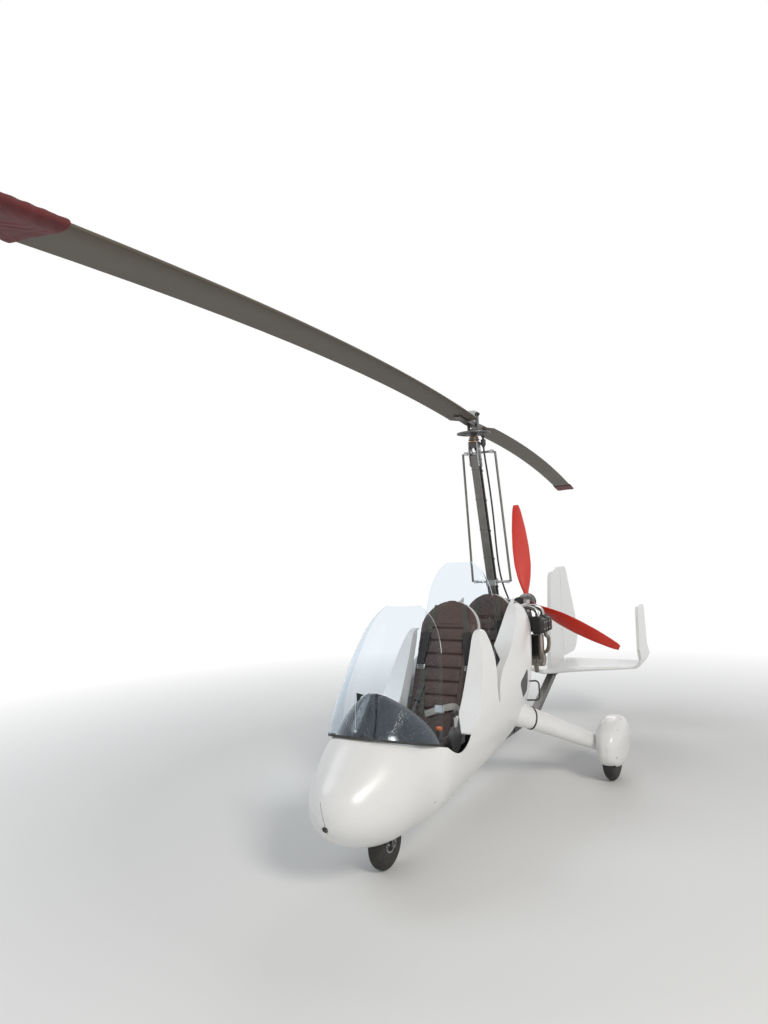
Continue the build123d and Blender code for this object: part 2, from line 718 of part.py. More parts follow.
def leg_plane(point):
    a = Vector(*LEG_END) - Vector(*LEG_RING)
    n = a.normalized()
    chord = (Vector(0, 1, 0) - n * n.Y).normalized()
    return Plane(origin=point, x_dir=chord, z_dir=n)


def leg_piece(start, end, size_a, size_b):
    with BuildPart() as leg:
        with BuildSketch(leg_plane(start)):
            Ellipse(size_a[0] / 2, size_a[1] / 2)
        with BuildSketch(leg_plane(end)):
            Ellipse(size_b[0] / 2, size_b[1] / 2)
        loft()
    return leg.part


leg_dir = (Vector(*LEG_END) - Vector(*LEG_RING)).normalized()
RING_W = 10.0
ring_start = Vector(*LEG_RING)
ring_end = ring_start + leg_dir * RING_W
with BuildPart() as port_fairing:
    add(leg_piece(LEG_ROOT, ring_start, LEG_ROOT_SIZE, LEG_RING_SIZE))
    add(pod_outer.part, mode=Mode.SUBTRACT)
with BuildPart() as port_ring:
    add(leg_piece(ring_start, ring_end, (LEG_RING_SIZE[0] + 8, LEG_RING_SIZE[1] + 8), (LEG_RING_SIZE[0] + 8, LEG_RING_SIZE[1] + 8)))
with BuildPart() as port_leg:
    add(leg_piece(ring_end, LEG_END, LEG_RING_SIZE, LEG_END_SIZE))
    add(spat_outer, mode=Mode.SUBTRACT)
    with Locations(Location((TRACK - 120, MAIN_Y, MAIN_R), (0, 90, 0))):
        Cylinder(AXLE_R + RUN, 200, mode=Mode.SUBTRACT)
with BuildPart() as port_axle:
    with Locations(Location((TRACK - 22, MAIN_Y, MAIN_R), (0, 90, 0))):
        Cylinder(AXLE_R, 150)

with BuildPart() as spats:
    add(port_spat.part)
    mirror(about=Plane.YZ)
with BuildPart() as leg_fairings:
    add(port_fairing.part)
    mirror(about=Plane.YZ)
with BuildPart() as leg_rings:
    add(port_ring.part)
    mirror(about=Plane.YZ)
with BuildPart() as gear_legs:
    add(port_leg.part)
    mirror(about=Plane.YZ)
with BuildPart() as main_axles:
    add(port_axle.part)
    mirror(about=Plane.YZ)
save(spats, "spats")
save(leg_fairings, "leg_fairings")
save(leg_rings, "leg_rings")
save(gear_legs, "gear_legs")
save(main_axles, "main_axles")


# Tailplane with a kinked leading edge and upturned end-plates
ELBOW_X = TAIL_HALF - PLATE_BEND


def tail_section(x, lead_y, thick):
    nose = thick * 0.9
    with BuildSketch(Plane.YZ.offset(x)) as section:
        with BuildLine():
            Polyline((TAIL_TE, TAIL_Z - 2), (TAIL_TE, TAIL_Z + 2), (TAIL_TE - 150, TAIL_Z + thick * 0.36))
            Line((TAIL_TE - 150, TAIL_Z + thick * 0.36), (lead_y + nose, TAIL_Z + thick / 2))
            Spline((lead_y + nose, TAIL_Z + thick / 2), (lead_y, TAIL_Z), (lead_y + nose, TAIL_Z - thick / 2),
                   tangents=[(-1, 0), (1, 0)])
            Polyline((lead_y + nose, TAIL_Z - thick / 2), (TAIL_TE - 150, TAIL_Z - thick * 0.36), (TAIL_TE, TAIL_Z - 2))
        make_face()
    return section.sketch


with BuildPart() as tailplane:
    loft([tail_section(0, TAIL_LE, TAIL_T), tail_section(TAIL_KINK[0], TAIL_KINK[1], TAIL_T)])
    loft([tail_section(TAIL_KINK[0], TAIL_KINK[1], TAIL_T), tail_section(ELBOW_X, TAIL_TIP_LE, TAIL_TIP_T)])
    mirror(about=Plane.YZ)
save(tailplane, "tailplane")

PLATE_Z = TAIL_Z + PLATE_BEND
PLATE_TAPER_Z = TAIL_Z + 2.4 * PLATE_BEND
with BuildPart() as end_plates:
    add(tail_section(ELBOW_X, TAIL_TIP_LE, TAIL_TIP_T))
    revolve(axis=Axis((ELBOW_X, 0, PLATE_Z), (0, -1, 0)), revolution_arc=90)
    with BuildSketch(Plane.YZ.offset(TAIL_HALF - PLATE_T / 2)):
        with BuildLine():
            Line((TAIL_TE, PLATE_Z), (PLATE_TE[0], PLATE_TAPER_Z))
            Line((PLATE_TE[0], PLATE_TAPER_Z), (PLATE_TE[1], PLATE_TOP - 50))
            ThreePointArc((PLATE_TE[1], PLATE_TOP - 50), (PLATE_TE[1] - 20, PLATE_TOP - 13), (PLATE_TE[1] - 60, PLATE_TOP))
            Line((PLATE_TE[1] - 60, PLATE_TOP), (PLATE_LE[1] + 60, PLATE_TOP))
            ThreePointArc((PLATE_LE[1] + 60, PLATE_TOP), (PLATE_LE[1] + 18, PLATE_TOP - 18), (PLATE_LE[1], PLATE_TOP - 60))
            Line((PLATE_LE[1], PLATE_TOP - 60), (PLATE_LE[0], PLATE_TAPER_Z))
            Line((PLATE_LE[0], PLATE_TAPER_Z), (TAIL_TIP_LE, PLATE_Z))
            Line((TAIL_TIP_LE, PLATE_Z), (TAIL_TE, PLATE_Z))
        make_face()
    extrude(amount=PLATE_T)
    mirror(about=Plane.YZ)
save(end_plates, "end_plates")

# Dark bracket that clamps the tail to the end of the keel tube
with BuildPart() as tail_bracket:
    with Locations((0, KEEL_REAR[0] - 20, TAIL_Z - 34)):
        Box(KEEL + 16, 240, 68)
    add(keel_boom.part, mode=Mode.SUBTRACT)
    add(tailplane.part, mode=Mode.SUBTRACT)
    split(bisect_by=Plane.XY.offset(TAIL_Z), keep=Keep.BOTTOM)

# Central fin, rudder and its hinge pins
FIN_Z = TAIL_Z + TAIL_T / 2
with BuildPart() as fin:
    with BuildSketch(Plane.YZ.offset(-16)):
        with BuildLine():
            Polyline((HINGE_Y - 14, TAIL_Z), (1584, TAIL_Z), (1716, 1400))
            Spline((1716, 1400), (1760, 1480), (1850, 1512), (HINGE_Y - 14, FIN_TOP), tangents=[(0.14, 1), (1, 0.05)])
            Line((HINGE_Y - 14, FIN_TOP), (HINGE_Y - 14, TAIL_Z))
        make_face()
    extrude(amount=32)
    add(tailplane.part, mode=Mode.SUBTRACT)
save(fin, "fin")

HINGE_HEIGHTS = (FIN_Z + 120, FIN_TOP - 130)
with BuildPart() as rudder:
    with BuildSketch(Plane.YZ.offset(-12)):
        with BuildLine():
            Polyline((HINGE_Y + 14, FIN_Z + 30), (HINGE_Y + 14, FIN_TOP), (HINGE_Y + 130, FIN_TOP))
            Spline((HINGE_Y + 130, FIN_TOP), (2309, 1420), (2450, 1164), (2596, 860), tangents=[(1, 0), (0.4, -1)])
            Spline((2596, 860), (2524, 700), (2380, FIN_Z + 30), tangents=[(0.2, -1), (-1, 0)])
            Line((2380, FIN_Z + 30), (HINGE_Y + 14, FIN_Z + 30))
        make_face()
    extrude(amount=24)
    for z in HINGE_HEIGHTS:
        with Locations((0, HINGE_Y, z)):
            Cylinder(9, 34)
        with Locations((0, HINGE_Y + 8, z)):
            Box(12, 16, 34)
        with Locations((0, HINGE_Y, z)):
            Cylinder(5 + RUN, 40, mode=Mode.SUBTRACT)
save(rudder, "rudder")

with BuildPart() as rudder_hinges:
    for z in HINGE_HEIGHTS:
        with Locations((0, HINGE_Y, z)):
            Cylinder(5, 60)
        with Locations((0, HINGE_Y - 7, z - 26), (0, HINGE_Y - 7, z + 26)):
            Box(16, 14, 6)
save(rudder_hinges, "rudder_hinges")

# Engine: crankcase block, four finned cylinders, gearbox, manifold, radiator and tank
ENGINE_Y = 690.0
ENGINE_Z = 1115.0
CASE = (190.0, 300.0, 150.0)
CYLINDER_STEP = 65.0
CYLINDER_R = 44.0
FIN_R = 57.0
FIN_COUNT = 6
FIN_PITCH = 14.0
HEAD_X = 196.0
HEAD = (68.0, 96.0, 128.0)
COVER_T = 30.0
PORT_R = 16.0
GEARBOX_REAR = 955.0
with BuildPart() as engine_block:
    with Locations((0, ENGINE_Y, ENGINE_Z)):
        Box(*CASE)
    fillet(engine_block.edges().filter_by(Axis.Y), 25)
save(engine_block, "engine_block")

with BuildPart() as engine_mount:
    mount_y = ENGINE_Y - CASE[1] / 2
    for x in (-60, 60):
        for z in (ENGINE_Z - 45, ENGINE_Z + 45):
            with Locations(Location((x, (POD_REAR + mount_y) / 2, z), (90, 0, 0))):
                Cylinder(14, mount_y - POD_REAR)
    for x in (-70, 70):
        with Locations((x, ENGINE_Y + 50, ENGINE_Z - 80)):
            Box(24, 30, 10)
save(engine_mount, "engine_mount")

with BuildPart() as cylinders:
    for y in (ENGINE_Y - CYLINDER_STEP, ENGINE_Y + CYLINDER_STEP):
        with Locations(Location(((CASE[0] / 2 + HEAD_X) / 2, y, ENGINE_Z), (0, 90, 0))):
            Cylinder(CYLINDER_R, HEAD_X - CASE[0] / 2)
        for k in range(FIN_COUNT):
            with Locations(Location((CASE[0] / 2 + 16 + FIN_PITCH * k, y, ENGINE_Z), (0, 90, 0))):
                Cylinder(FIN_R, 3)
        with Locations((HEAD_X + HEAD[0] / 2, y, ENGINE_Z)):
            Box(*HEAD)
        for k in (-2, -1, 0, 1, 2):
            with Locations((HEAD_X + HEAD[0] / 2 + 12 * k, y, ENGINE_Z)):
                Box(3, HEAD[1] + 12, HEAD[2] + 14)
        with BuildSketch(Plane.YZ.offset(HEAD_X + HEAD[0])):
            with Locations((y, ENGINE_Z)):
                RectangleRounded(HEAD[1] - 6, HEAD[2] - 8, 26)
        extrude(amount=COVER_T, taper=16)
    mirror(about=Plane.YZ)
save(cylinders, "cylinders")

with BuildPart() as gearbox:
    with BuildSketch(across(ENGINE_Y + CASE[1] / 2)):
        with Locations((0, ENGINE_Z + 10)):
            Circle(80)
        with Locations((0, PROP_Z)):
            Circle(58)
        make_hull()
    extrude(amount=-(GEARBOX_REAR - ENGINE_Y - CASE[1] / 2))
    fillet(gearbox.faces().sort_by(Axis.Y)[-1].edges(), 12)
    with Locations(Location((0, GEARBOX_REAR - 15, PROP_Z), (90, 0, 0))):
        Cylinder(PROP_SHAFT_R + RUN, 60, mode=Mode.SUBTRACT)
save(gearbox, "gearbox")


# Round pipe along a smooth line
def pipe(points, radius, tangents):
    with BuildPart() as tube:
        with BuildLine() as path:
            Spline(points, tangents=tangents)
        with BuildSketch(Plane(origin=points[0], z_dir=tangents[0])):
            Circle(radius)
        sweep()
    return tube.part


# Two carburettors behind the intake pipes, each with a cone filter
CARB_X = 92.0
CARB_Y = 770.0
CARB_Z = 1262.0
with BuildPart() as carburettors:
    with Locations(Location((CARB_X, CARB_Y, CARB_Z), (90, 0, 0))):
        Cylinder(24, 84)
    with Locations((CARB_X, CARB_Y, CARB_Z - 34)):
        Cylinder(20, 46)
    with Locations((CARB_X, CARB_Y, CARB_Z + 32)):
        Cylinder(26, 30)
    mirror(about=Plane.YZ)

with BuildPart() as air_filters:
    with Locations(Location((CARB_X, CARB_Y + 42 + 38, CARB_Z), (90, 0, 0))):
        Cone(30, 40, 76)
    mirror(about=Plane.YZ)
    with BuildPart(mode=Mode.PRIVATE) as case_nose:
        add(gearbox.part)
    add(case_nose.part, mode=Mode.SUBTRACT)
save(air_filters, "air_filters")

with BuildPart() as intake:
    add(carburettors.part)
    with Locations(Location((CARB_X, CARB_Y - 108, CARB_Z), (90, 0, 0))):
        Cylinder(22, 140)
    for y in (ENGINE_Y - CYLINDER_STEP, ENGINE_Y + CYLINDER_STEP - 36):
        add(pipe([(CARB_X, y, CARB_Z), (HEAD_X + 34, y + (36 if y > ENGINE_Y else 0), ENGINE_Z + HEAD[2] / 2 + 7 + SEAT)],
                 PORT_R, [(1, 0, 0), (0, 0, -1)]))
    mirror(about=Plane.YZ)
save(intake, "intake")

# Radiator under the crankcase, with a rim round its core
RADIATOR = (448.0, 56.0, 170.0)
RADIATOR_C = (0.0, 744.0, 936.0)
with BuildPart() as radiator:
    with Locations(RADIATOR_C):
        Box(*RADIATOR)
    for side in (-1, 1):
        with Locations((0, RADIATOR_C[1] + side * RADIATOR[1] / 2, RADIATOR_C[2])):
            Box(RADIATOR[0] - 70, 16, RADIATOR[2] - 30, mode=Mode.SUBTRACT)
    for x in (-70, 70):
        with Locations((x, RADIATOR_C[1], (RADIATOR_C[2] + RADIATOR[2] / 2 + ENGINE_Z - 85) / 2)):
            Box(24, 24, ENGINE_Z - 85 - RADIATOR_C[2] - RADIATOR[2] / 2)
save(radiator, "radiator")

with BuildPart() as oil_tank:
    with Locations((-120, 584, 900)):
        Cylinder(54, 190)
        with Locations((0, 0, 95 + 9)):
            Cylinder(26, 18)
    with Locations((-120, 505 + SEAT, 940)):
        Box(40, 50, 30)
save(oil_tank, "oil_tank")

with BuildPart() as prop_hub:
    with BuildSketch(Plane.YZ):
        with BuildLine():
            Polyline((-PROP_SHAFT, 0), (-PROP_SHAFT, PROP_SHAFT_R), (-31, PROP_SHAFT_R), (-31, 75), (-23, 75), (-23, 36),
                     (23, 36), (23, 75), (31, 75),
                     (31, 40), (60, 22), (60, 0), close=True)
        make_face()
    revolve(axis=Axis.Y)
with BuildPart() as prop_hub_placed:
    add(prop_hub.part.moved(Location((0, PROP_Y, PROP_Z))))
save(prop_hub_placed, "prop_hub")

# Propeller blade, built pointing up: radius, chord, thickness, pitch angle
PROP_STATIONS = [
    (36.3, 45.4, 45.4, 60),
    (60, 43, 42, 58),
    (80, 43, 41, 55),
    (135, 95, 34, 46),
    (210, 150, 25, 38),
    (330, 176, 19, 31),
    (480, 170, 14, 25),
    (640, 144, 11, 20),
    (780, 104, 8, 17),
    (862, 54, 5, 15),
]
with BuildPart() as prop_blade:
    for r, chord, thick, pitch in PROP_STATIONS:
        with BuildSketch(Plane(origin=(0, 0, r), x_dir=(math.cos(math.radians(pitch)), math.sin(math.radians(pitch)), 0),
                               z_dir=(0, 0, 1))):
            Ellipse(chord / 2, thick / 2)
    loft()
with BuildPart() as prop_blades:
    for k in range(BLADE_COUNT):
        add(prop_blade.part.rotate(Axis.Y, PROP_TURN + 360 / BLADE_COUNT * k).moved(Location((0, PROP_Y, PROP_Z))))
save(prop_blades, "prop_blades")

MUFFLER = (0.0, 868.0, 800.0)
MUFFLER_R = 58.0
with BuildPart() as exhaust:
    with Locations(Location(MUFFLER, (0, 90, 0))):
        Cylinder(MUFFLER_R, 380)
    low = ENGINE_Z - HEAD[2] / 2 - 7 - SEAT
    front_port = ENGINE_Y - CYLINDER_STEP
    rear_port = ENGINE_Y + CYLINDER_STEP
    pipe_x = HEAD_X + 50
    add(pipe([(pipe_x, front_port, low), (pipe_x, front_port + 4, 880), (pipe_x - 40, 740, 800), (150, MUFFLER[1] - 40, 792)],
             PORT_R, [(0, 0, -1), (-0.2, 1, 0)]))
    add(pipe([(pipe_x, rear_port, low), (pipe_x + 2, 808, 1000), (pipe_x - 20, 850, 880), (150, MUFFLER[1], MUFFLER[2] + 40)],
             PORT_R, [(0, 0, -1), (-1, 0, -0.6)]))
    mirror(about=Plane.YZ)
    with Locations(Location((110, MUFFLER[1] + 20, MUFFLER[2] - 70), (20, 0, 0))):
        Cylinder(20, 90)
save(exhaust, "exhaust")

# Rotor head: cheek plates on the mast, a gimbal block with the bearing housing, and the control cross-bars
CHEEK_PLATE = 6.0
PIVOT_R = 8.0
ROD_R = 9.0
ROD_TOP = (133.0, 87.0, HUB_Z - 202)
ROD_FOOT = (159.0, 231.0, 1497.0)
with BuildPart() as mast_head:
    with BuildSketch(Plane.YZ.offset(MAST / 2)):
        with BuildLine():
            Polyline((-10, MAST_TOP[1] - 90), (62, MAST_TOP[1] - 90), (44, MAST_TOP[1] + 14), (30, PIVOT_Z + 24),
                     (-30, PIVOT_Z + 24), (-32, MAST_TOP[1] + 14), close=True)
        make_face()
        with Locations((12, MAST_TOP[1] + 22)):
            Circle(13, mode=Mode.SUBTRACT)
    extrude(amount=CHEEK_PLATE)
    mirror(about=Plane.YZ)
    with Locations(Location((0, 0, PIVOT_Z), (0, 90, 0))):
        Cylinder(PIVOT_R, MAST + 2 * CHEEK_PLATE + 6)
save(mast_head, "mast_head")

# Gimbal block with the bearing housing above it
HOUSING = [(12, 22), (30, 22), (30, 34), (42, 34), (42, 42), (34, 42), (34, 60), (27, 66), (12, 66)]
with BuildPart() as head_block:
    with Locations((0, 0, PIVOT_Z)):
        Box(MAST - 2 * SEAT, 60, 44)
    with BuildSketch(Plane.XZ):
        Polygon([(r, PIVOT_Z + z) for r, z in HOUSING], align=None)
    revolve(axis=Axis.Z)
    with Locations(Location((0, 0, PIVOT_Z), (0, 90, 0))):
        Cylinder(PIVOT_R + RUN, MAST, mode=Mode.SUBTRACT)
    with Locations((0, 0, PIVOT_Z + 54)):
        Cylinder(12 + RUN, 86, mode=Mode.SUBTRACT)

# Rear arm of the gimbal, which the upper cross-bar turns through
with BuildPart() as gimbal:
    with BuildSketch(Plane.YZ.offset(-12)):
        Polygon((20, PIVOT_Z + 18), (20, PIVOT_Z - 18), (76, ROD_TOP[2] - 16), (100, ROD_TOP[2] - 16),
                (104, ROD_TOP[2] + 8), (66, PIVOT_Z + 6), align=None)
    extrude(amount=24)
    with Locations(Location((0, ROD_TOP[1], ROD_TOP[2]), (0, 90, 0))):
        Cylinder(ROD_R + RUN, 60, mode=Mode.SUBTRACT)
    with Locations(Location((0, 0, PIVOT_Z), (0, 90, 0))):
        Cylinder(PIVOT_R + 1, 60, mode=Mode.SUBTRACT)
with BuildPart() as head_with_arm:
    add(head_block.part)
    add(gimbal.part)
save(head_with_arm, "head_block")

# Upper cross-bar with its ends, and the lower one on a collar round the mast
COLLAR_T = 8.0
with BuildPart() as collar:
    with BuildSketch(mast_plane):
        RectangleRounded(MAST + 2 * COLLAR_T, MAST + 2 * COLLAR_T, 8)
        Rectangle(MAST + 2 * SEAT, MAST + 2 * SEAT, mode=Mode.SUBTRACT)
    extrude(amount=-44)
collar_drop = (MAST_TOP[1] - ROD_FOOT[2]) / math.cos(mast_lean) - 22
with BuildPart() as control_horns:
    with Locations(Location((0, ROD_TOP[1], ROD_TOP[2]), (0, 90, 0))):
        Cylinder(ROD_R, 2 * (ROD_TOP[0] - ROD_R - SEAT))
    with Locations(Location((0, ROD_FOOT[1], ROD_FOOT[2]), (0, 90, 0))):
        Cylinder(ROD_R, 2 * (ROD_FOOT[0] - ROD_R - SEAT))
    for side in (1, -1):
        with Locations((side * (ROD_TOP[0] - 26), ROD_TOP[1], ROD_TOP[2])):
            Box(26, 30, 26)
        with Locations((side * (ROD_FOOT[0] - 26), ROD_FOOT[1], ROD_FOOT[2])):
            Box(26, 28, 24)
    add(mast_space.part, mode=Mode.SUBTRACT)
    add(collar.part.moved(Location((0, collar_drop * math.sin(mast_lean), -collar_drop * math.cos(mast_lean)))))
save(control_horns, "control_horns")

# Prerotator under the ring gear, with its drive shaft down the back of the mast
PRE_X = 62.0
PRE_Y = 34.0
SHAFT_R = 7.0
with BuildPart() as prerotator:
    with Locations((PRE_X, PRE_Y, PIVOT_Z + 16)):
        Cylinder(19, 44)
    with Locations((PRE_X, PRE_Y, PIVOT_Z + 48)):
        Cylinder(9, 20)
    with Locations((PRE_X, PRE_Y, PIVOT_Z + 63)):
        Cylinder(15, 12)
    with Locations((PRE_X, PRE_Y + 2, PIVOT_Z - 12)):
        Cylinder(12, 14)
    run = Vector(0, math.sin(mast_lean), -math.cos(mast_lean))
    low_end = Vector(PRE_X, PRE_Y + 46, PIVOT_Z - 180)
    add(pipe([(PRE_X, PRE_Y + 2, PIVOT_Z - 16), tuple(low_end), tuple(low_end + run * 450), tuple(low_end + run * 880),
              (48, 585, ENGINE_Z + 79)], SHAFT_R, [(0, 0.15, -1), (0, 0.5, -0.85)]))
    with Locations((MAST / 2 + CHEEK_PLATE + 4 + SEAT, PRE_Y - 10, PIVOT_Z + 8)):
        Box(8, 14, 16)
save(prerotator, "prerotator")

spin = math.radians(ROTOR_PSI)
span = Vector(math.sin(spin), -math.cos(spin), 0)
lead = Vector(math.cos(spin), math.sin(spin), 0)
with BuildPart() as ring_gear:
    with BuildSketch(Plane.XY.offset(RING_Z)):
        Circle(RING_R)
        Circle(12, mode=Mode.SUBTRACT)
        with PolarLocations(80, 6):
            Circle(18, mode=Mode.SUBTRACT)
    extrude(amount=RING_T)
save(ring_gear, "ring_gear")

tower_plane = Plane(origin=(0, 0, 0), x_dir=span, z_dir=lead * -1)
CHEEK_IN = 32.0
CHEEK_T = 8.0
PIN_R = 7.0
with BuildPart() as rotor_tower:
    with Locations(Location((0, 0, RING_Z - 35))):
        Cylinder(12, 70)
    with Locations((0, 0, RING_Z - 7)):
        Cylinder(24, 10)
    with Locations(Location((0, 0, RING_Z + RING_T + 9), (0, 0, -90 + ROTOR_PSI))):
        Box(56, 2 * (CHEEK_IN + CHEEK_T), 18)
    for side in (1, -1):
        with BuildSketch(tower_plane.offset(side * CHEEK_IN)):
            with BuildLine():
                Polyline((-28, RING_Z + RING_T), (28, RING_Z + RING_T), (20, TEETER_Z + 16), (-20, TEETER_Z + 16), close=True)
            make_face()
        extrude(amount=side * CHEEK_T)
    with Locations(tower_plane.offset(0).location * Location((0, TEETER_Z, 0))):
        Cylinder(PIN_R, 2 * (CHEEK_IN + CHEEK_T) + 20)
save(rotor_tower, "rotor_tower")

def blade_height(side, r):
    return HUB_Z + (CONE + side * TEETER_REST) * r - DROOP * (r / ROTOR_R) ** 2


# Dark hub bar with a strap over and under each blade root, and the teeter block on its middle
STRAP_ROOM = 3.75
STRAP_OVER = BLADE_THICK * 0.62 + STRAP_ROOM
STRAP_UNDER = BLADE_THICK * 0.38 + STRAP_ROOM
BLOCK_HALF = 34.0


def strap_side(side, low, high):
    with BuildSketch(tower_plane.offset(-STRAP_W / 2)) as strap:
        Polygon((side * STRAP_START, blade_height(side, STRAP_START) + low),
                (side * STRAP_END, blade_height(side, STRAP_END) + low),
                (side * STRAP_END, blade_height(side, STRAP_END) + high),
                (side * STRAP_START, blade_height(side, STRAP_START) + high), align=None)
    return strap.sketch


with BuildPart() as hub_bar:
    for side in (1, -1):
        extrude(strap_side(side, STRAP_OVER, STRAP_OVER + STRAP_T), amount=STRAP_W)
        extrude(strap_side(side, -STRAP_UNDER - STRAP_T, -STRAP_UNDER), amount=STRAP_W)
    with BuildSketch(tower_plane.offset(-(CHEEK_IN - MOVE))):
        ends = [(side * (BLADE_ROOT - 6), blade_height(side, BLADE_ROOT - 6)) for side in (1, -1)]
        over = STRAP_OVER + STRAP_T - 0.5
        under = STRAP_UNDER + STRAP_T - 0.5
        Polygon((-BLOCK_HALF, HUB_Z + 16), (BLOCK_HALF, HUB_Z + 16), (ends[0][0], ends[0][1] + over),
                (ends[0][0], ends[0][1] - under), (BLOCK_HALF, HUB_Z - 14), (-BLOCK_HALF, HUB_Z - 14),
                (ends[1][0], ends[1][1] - under), (ends[1][0], ends[1][1] + over), align=None)
    extrude(amount=2 * (CHEEK_IN - MOVE))
save(hub_bar, "hub_bar")

with BuildPart() as teeter_block:
    with BuildSketch(tower_plane.offset(-(CHEEK_IN - MOVE))):
        Polygon((-BLOCK_HALF, HUB_Z + 16 + SEAT), (BLOCK_HALF, HUB_Z + 16 + SEAT), (BLOCK_HALF - 2, TEETER_Z + 26),
                (-BLOCK_HALF + 2, TEETER_Z + 26), align=None)
    extrude(amount=2 * (CHEEK_IN - MOVE))
    with Locations(tower_plane.location * Location((0, TEETER_Z, 0))):
        Cylinder(PIN_R + RUN, 100, mode=Mode.SUBTRACT)
save(teeter_block, "teeter_block")


# Closed section across a rotor blade: flat-bottomed wing section
def blade_section(plane, grow):
    half = BLADE_CHORD / 2
    top = BLADE_THICK * 0.62 + grow
    low = BLADE_THICK * 0.38 + grow
    nose = half + grow
    tail = -half - grow
    with BuildSketch(plane) as section:
        with BuildLine():
            Spline((nose, 0), (nose - 16, top * 0.75), (nose - 60, top), (tail, 1 + grow), tangents=[(0, 1), (-1, -0.12)])
            Line((tail, 1 + grow), (tail, -1 - grow))
            Spline((tail, -1 - grow), (nose - 60, -low), (nose - 12, -low * 0.8), (nose, 0), tangents=[(1, -0.02), (0, 1)])
        make_face()
    return section.sketch


def blade_solid(side, grow, stations):
    sections = []
    for r in stations:
        origin = span * (side * r)
        place = Plane(origin=(origin.X, origin.Y, blade_height(side, r)), x_dir=lead * side, z_dir=span * side)
        sections.append(blade_section(place, grow))
    with BuildPart() as blade:
        loft(sections)
    return blade.part


# Corner cut away from the trailing edge at the root
def root_cut(side):
    cut_y, cut_x = ROOT_CUT
    with BuildSketch(Plane(origin=(0, 0, HUB_Z - 200), x_dir=span * side, z_dir=(0, 0, 1))) as corner:
        back = -1
        Polygon((BLADE_ROOT - 20, back * cut_x), (BLADE_ROOT + 4, back * cut_x), (cut_y, back * (BLADE_CHORD / 2 + 12)),
                (BLADE_ROOT - 20, back * (BLADE_CHORD / 2 + 12)), align=None)
        Polygon((BLADE_ROOT - 20, -back * cut_x), (BLADE_ROOT + 4, -back * cut_x), (cut_y - 30, -back * (BLADE_CHORD / 2 + 12)),
                (BLADE_ROOT - 20, -back * (BLADE_CHORD / 2 + 12)), align=None)
    return extrude(corner.sketch, amount=400)


for name, side in (("front_blade", 1), ("rear_blade", -1)):
    corner_cut = root_cut(side)
    with BuildPart() as rotor_blade:
        add(blade_solid(side, 0, BLADE_STATIONS))
        add(corner_cut, mode=Mode.SUBTRACT)
    save(rotor_blade, name)

SOCK_STATIONS = (SOCK_START, (SOCK_START + SOCK_END) / 2, SOCK_END)
with BuildPart() as tip_socks:
    for side in (1, -1):
        add(blade_solid(side, 8, SOCK_STATIONS))
        add(blade_solid(side, 1, BLADE_STATIONS[:-1] + (ROTOR_R + 1,)), mode=Mode.SUBTRACT)
save(tip_socks, "tip_socks")

# Pushrods
with BuildPart() as pushrods:
    a = Vector(*ROD_TOP)
    b = Vector(*ROD_FOOT)
    with BuildSketch(Plane(origin=b, z_dir=(a - b).normalized())):
        Circle(ROD_R)
    extrude(amount=(a - b).length)
    mirror(about=Plane.YZ)
save(pushrods, "pushrods")

# Clamp plates that hold the mast's foot to the keel tube
with BuildPart() as mast_foot:
    for side in (1, -1):
        with BuildSketch(Plane.YZ.offset(side * (MAST / 2 + SEAT))):
            Polygon((486, KEEL_Z - 24), (610, KEEL_Z - 24), (610, KEEL_Z + 24), (545, KEEL_Z + 130), (486, KEEL_Z + 130),
                    align=None)
        extrude(amount=side * 6)
with BuildPart() as keel_brackets:
    add(tail_bracket.part)
    add(mast_foot.part)
save(keel_brackets, "keel_brackets")

# Control sticks: a curved tube with a thick grip
STICK_R = 10.0
GRIP_R = 17.0
with BuildPart() as cockpit_sticks:
    for foot, knee, top in (
        ((0, -1350, FLOOR_TOP), (0, -1345, 620), (0, -1120, 840)),
        ((0, -500, FLOOR_TOP), (0, -495, 600), (0, -330, 860)),
    ):
        end = (Vector(*top) - Vector(*knee)).normalized()
        add(pipe([foot, knee, top], STICK_R, [(0, 0, 1), tuple(end)]))
        with BuildSketch(Plane(origin=top, z_dir=end)):
            Circle(GRIP_R)
        extrude(amount=110)
        with Locations(foot):
            Cylinder(34, 9, align=(Align.CENTER, Align.CENTER, Align.MIN))
save(cockpit_sticks, "cockpit_sticks")

# Throttle and brake levers on a round black bracket in the port side, with the brake's fluid bottle
QUADRANT = (282.0, -1196.0, 648.0)
with BuildPart() as throttle_quadrant:
    with Locations(Location(QUADRANT, (0, 90, 0))):
        Cylinder(74, 26)
    with Locations((QUADRANT[0] - 20, QUADRANT[1] + 8, (QUADRANT[2] + 430) / 2)):
        Box(14, 90, QUADRANT[2] - 430)
    with Locations((QUADRANT[0] + 6.3, QUADRANT[1] + 8, 435)):
        Box(62, 90, 10)
    with Locations(Location((QUADRANT[0] - 40, QUADRANT[1] - 120, QUADRANT[2] + 56))):
        Cylinder(22, 54)
    with Locations((QUADRANT[0] - 18, QUADRANT[1] - 70, QUADRANT[2] + 20)):
        Box(12, 130, 24)

with BuildPart() as throttle_levers:
    for x, lean in ((QUADRANT[0] - 7, 24), (QUADRANT[0] + 7, -6)):
        tilt = math.radians(lean)
        direction = Vector(0, math.sin(tilt), math.cos(tilt))
        root = Vector(x, QUADRANT[1], QUADRANT[2]) + direction * 70
        with BuildSketch(Plane(origin=root, x_dir=(1, 0, 0), z_dir=direction)):
            Rectangle(5, 16)
        extrude(amount=62)
        with BuildSketch(Plane(origin=root + direction * 62, x_dir=(1, 0, 0), z_dir=direction)):
            Circle(9)
        extrude(amount=36)
with BuildPart() as throttle_set:
    add(throttle_quadrant.part)
    add(throttle_levers.part)
save(throttle_set, "throttle_quadrant")

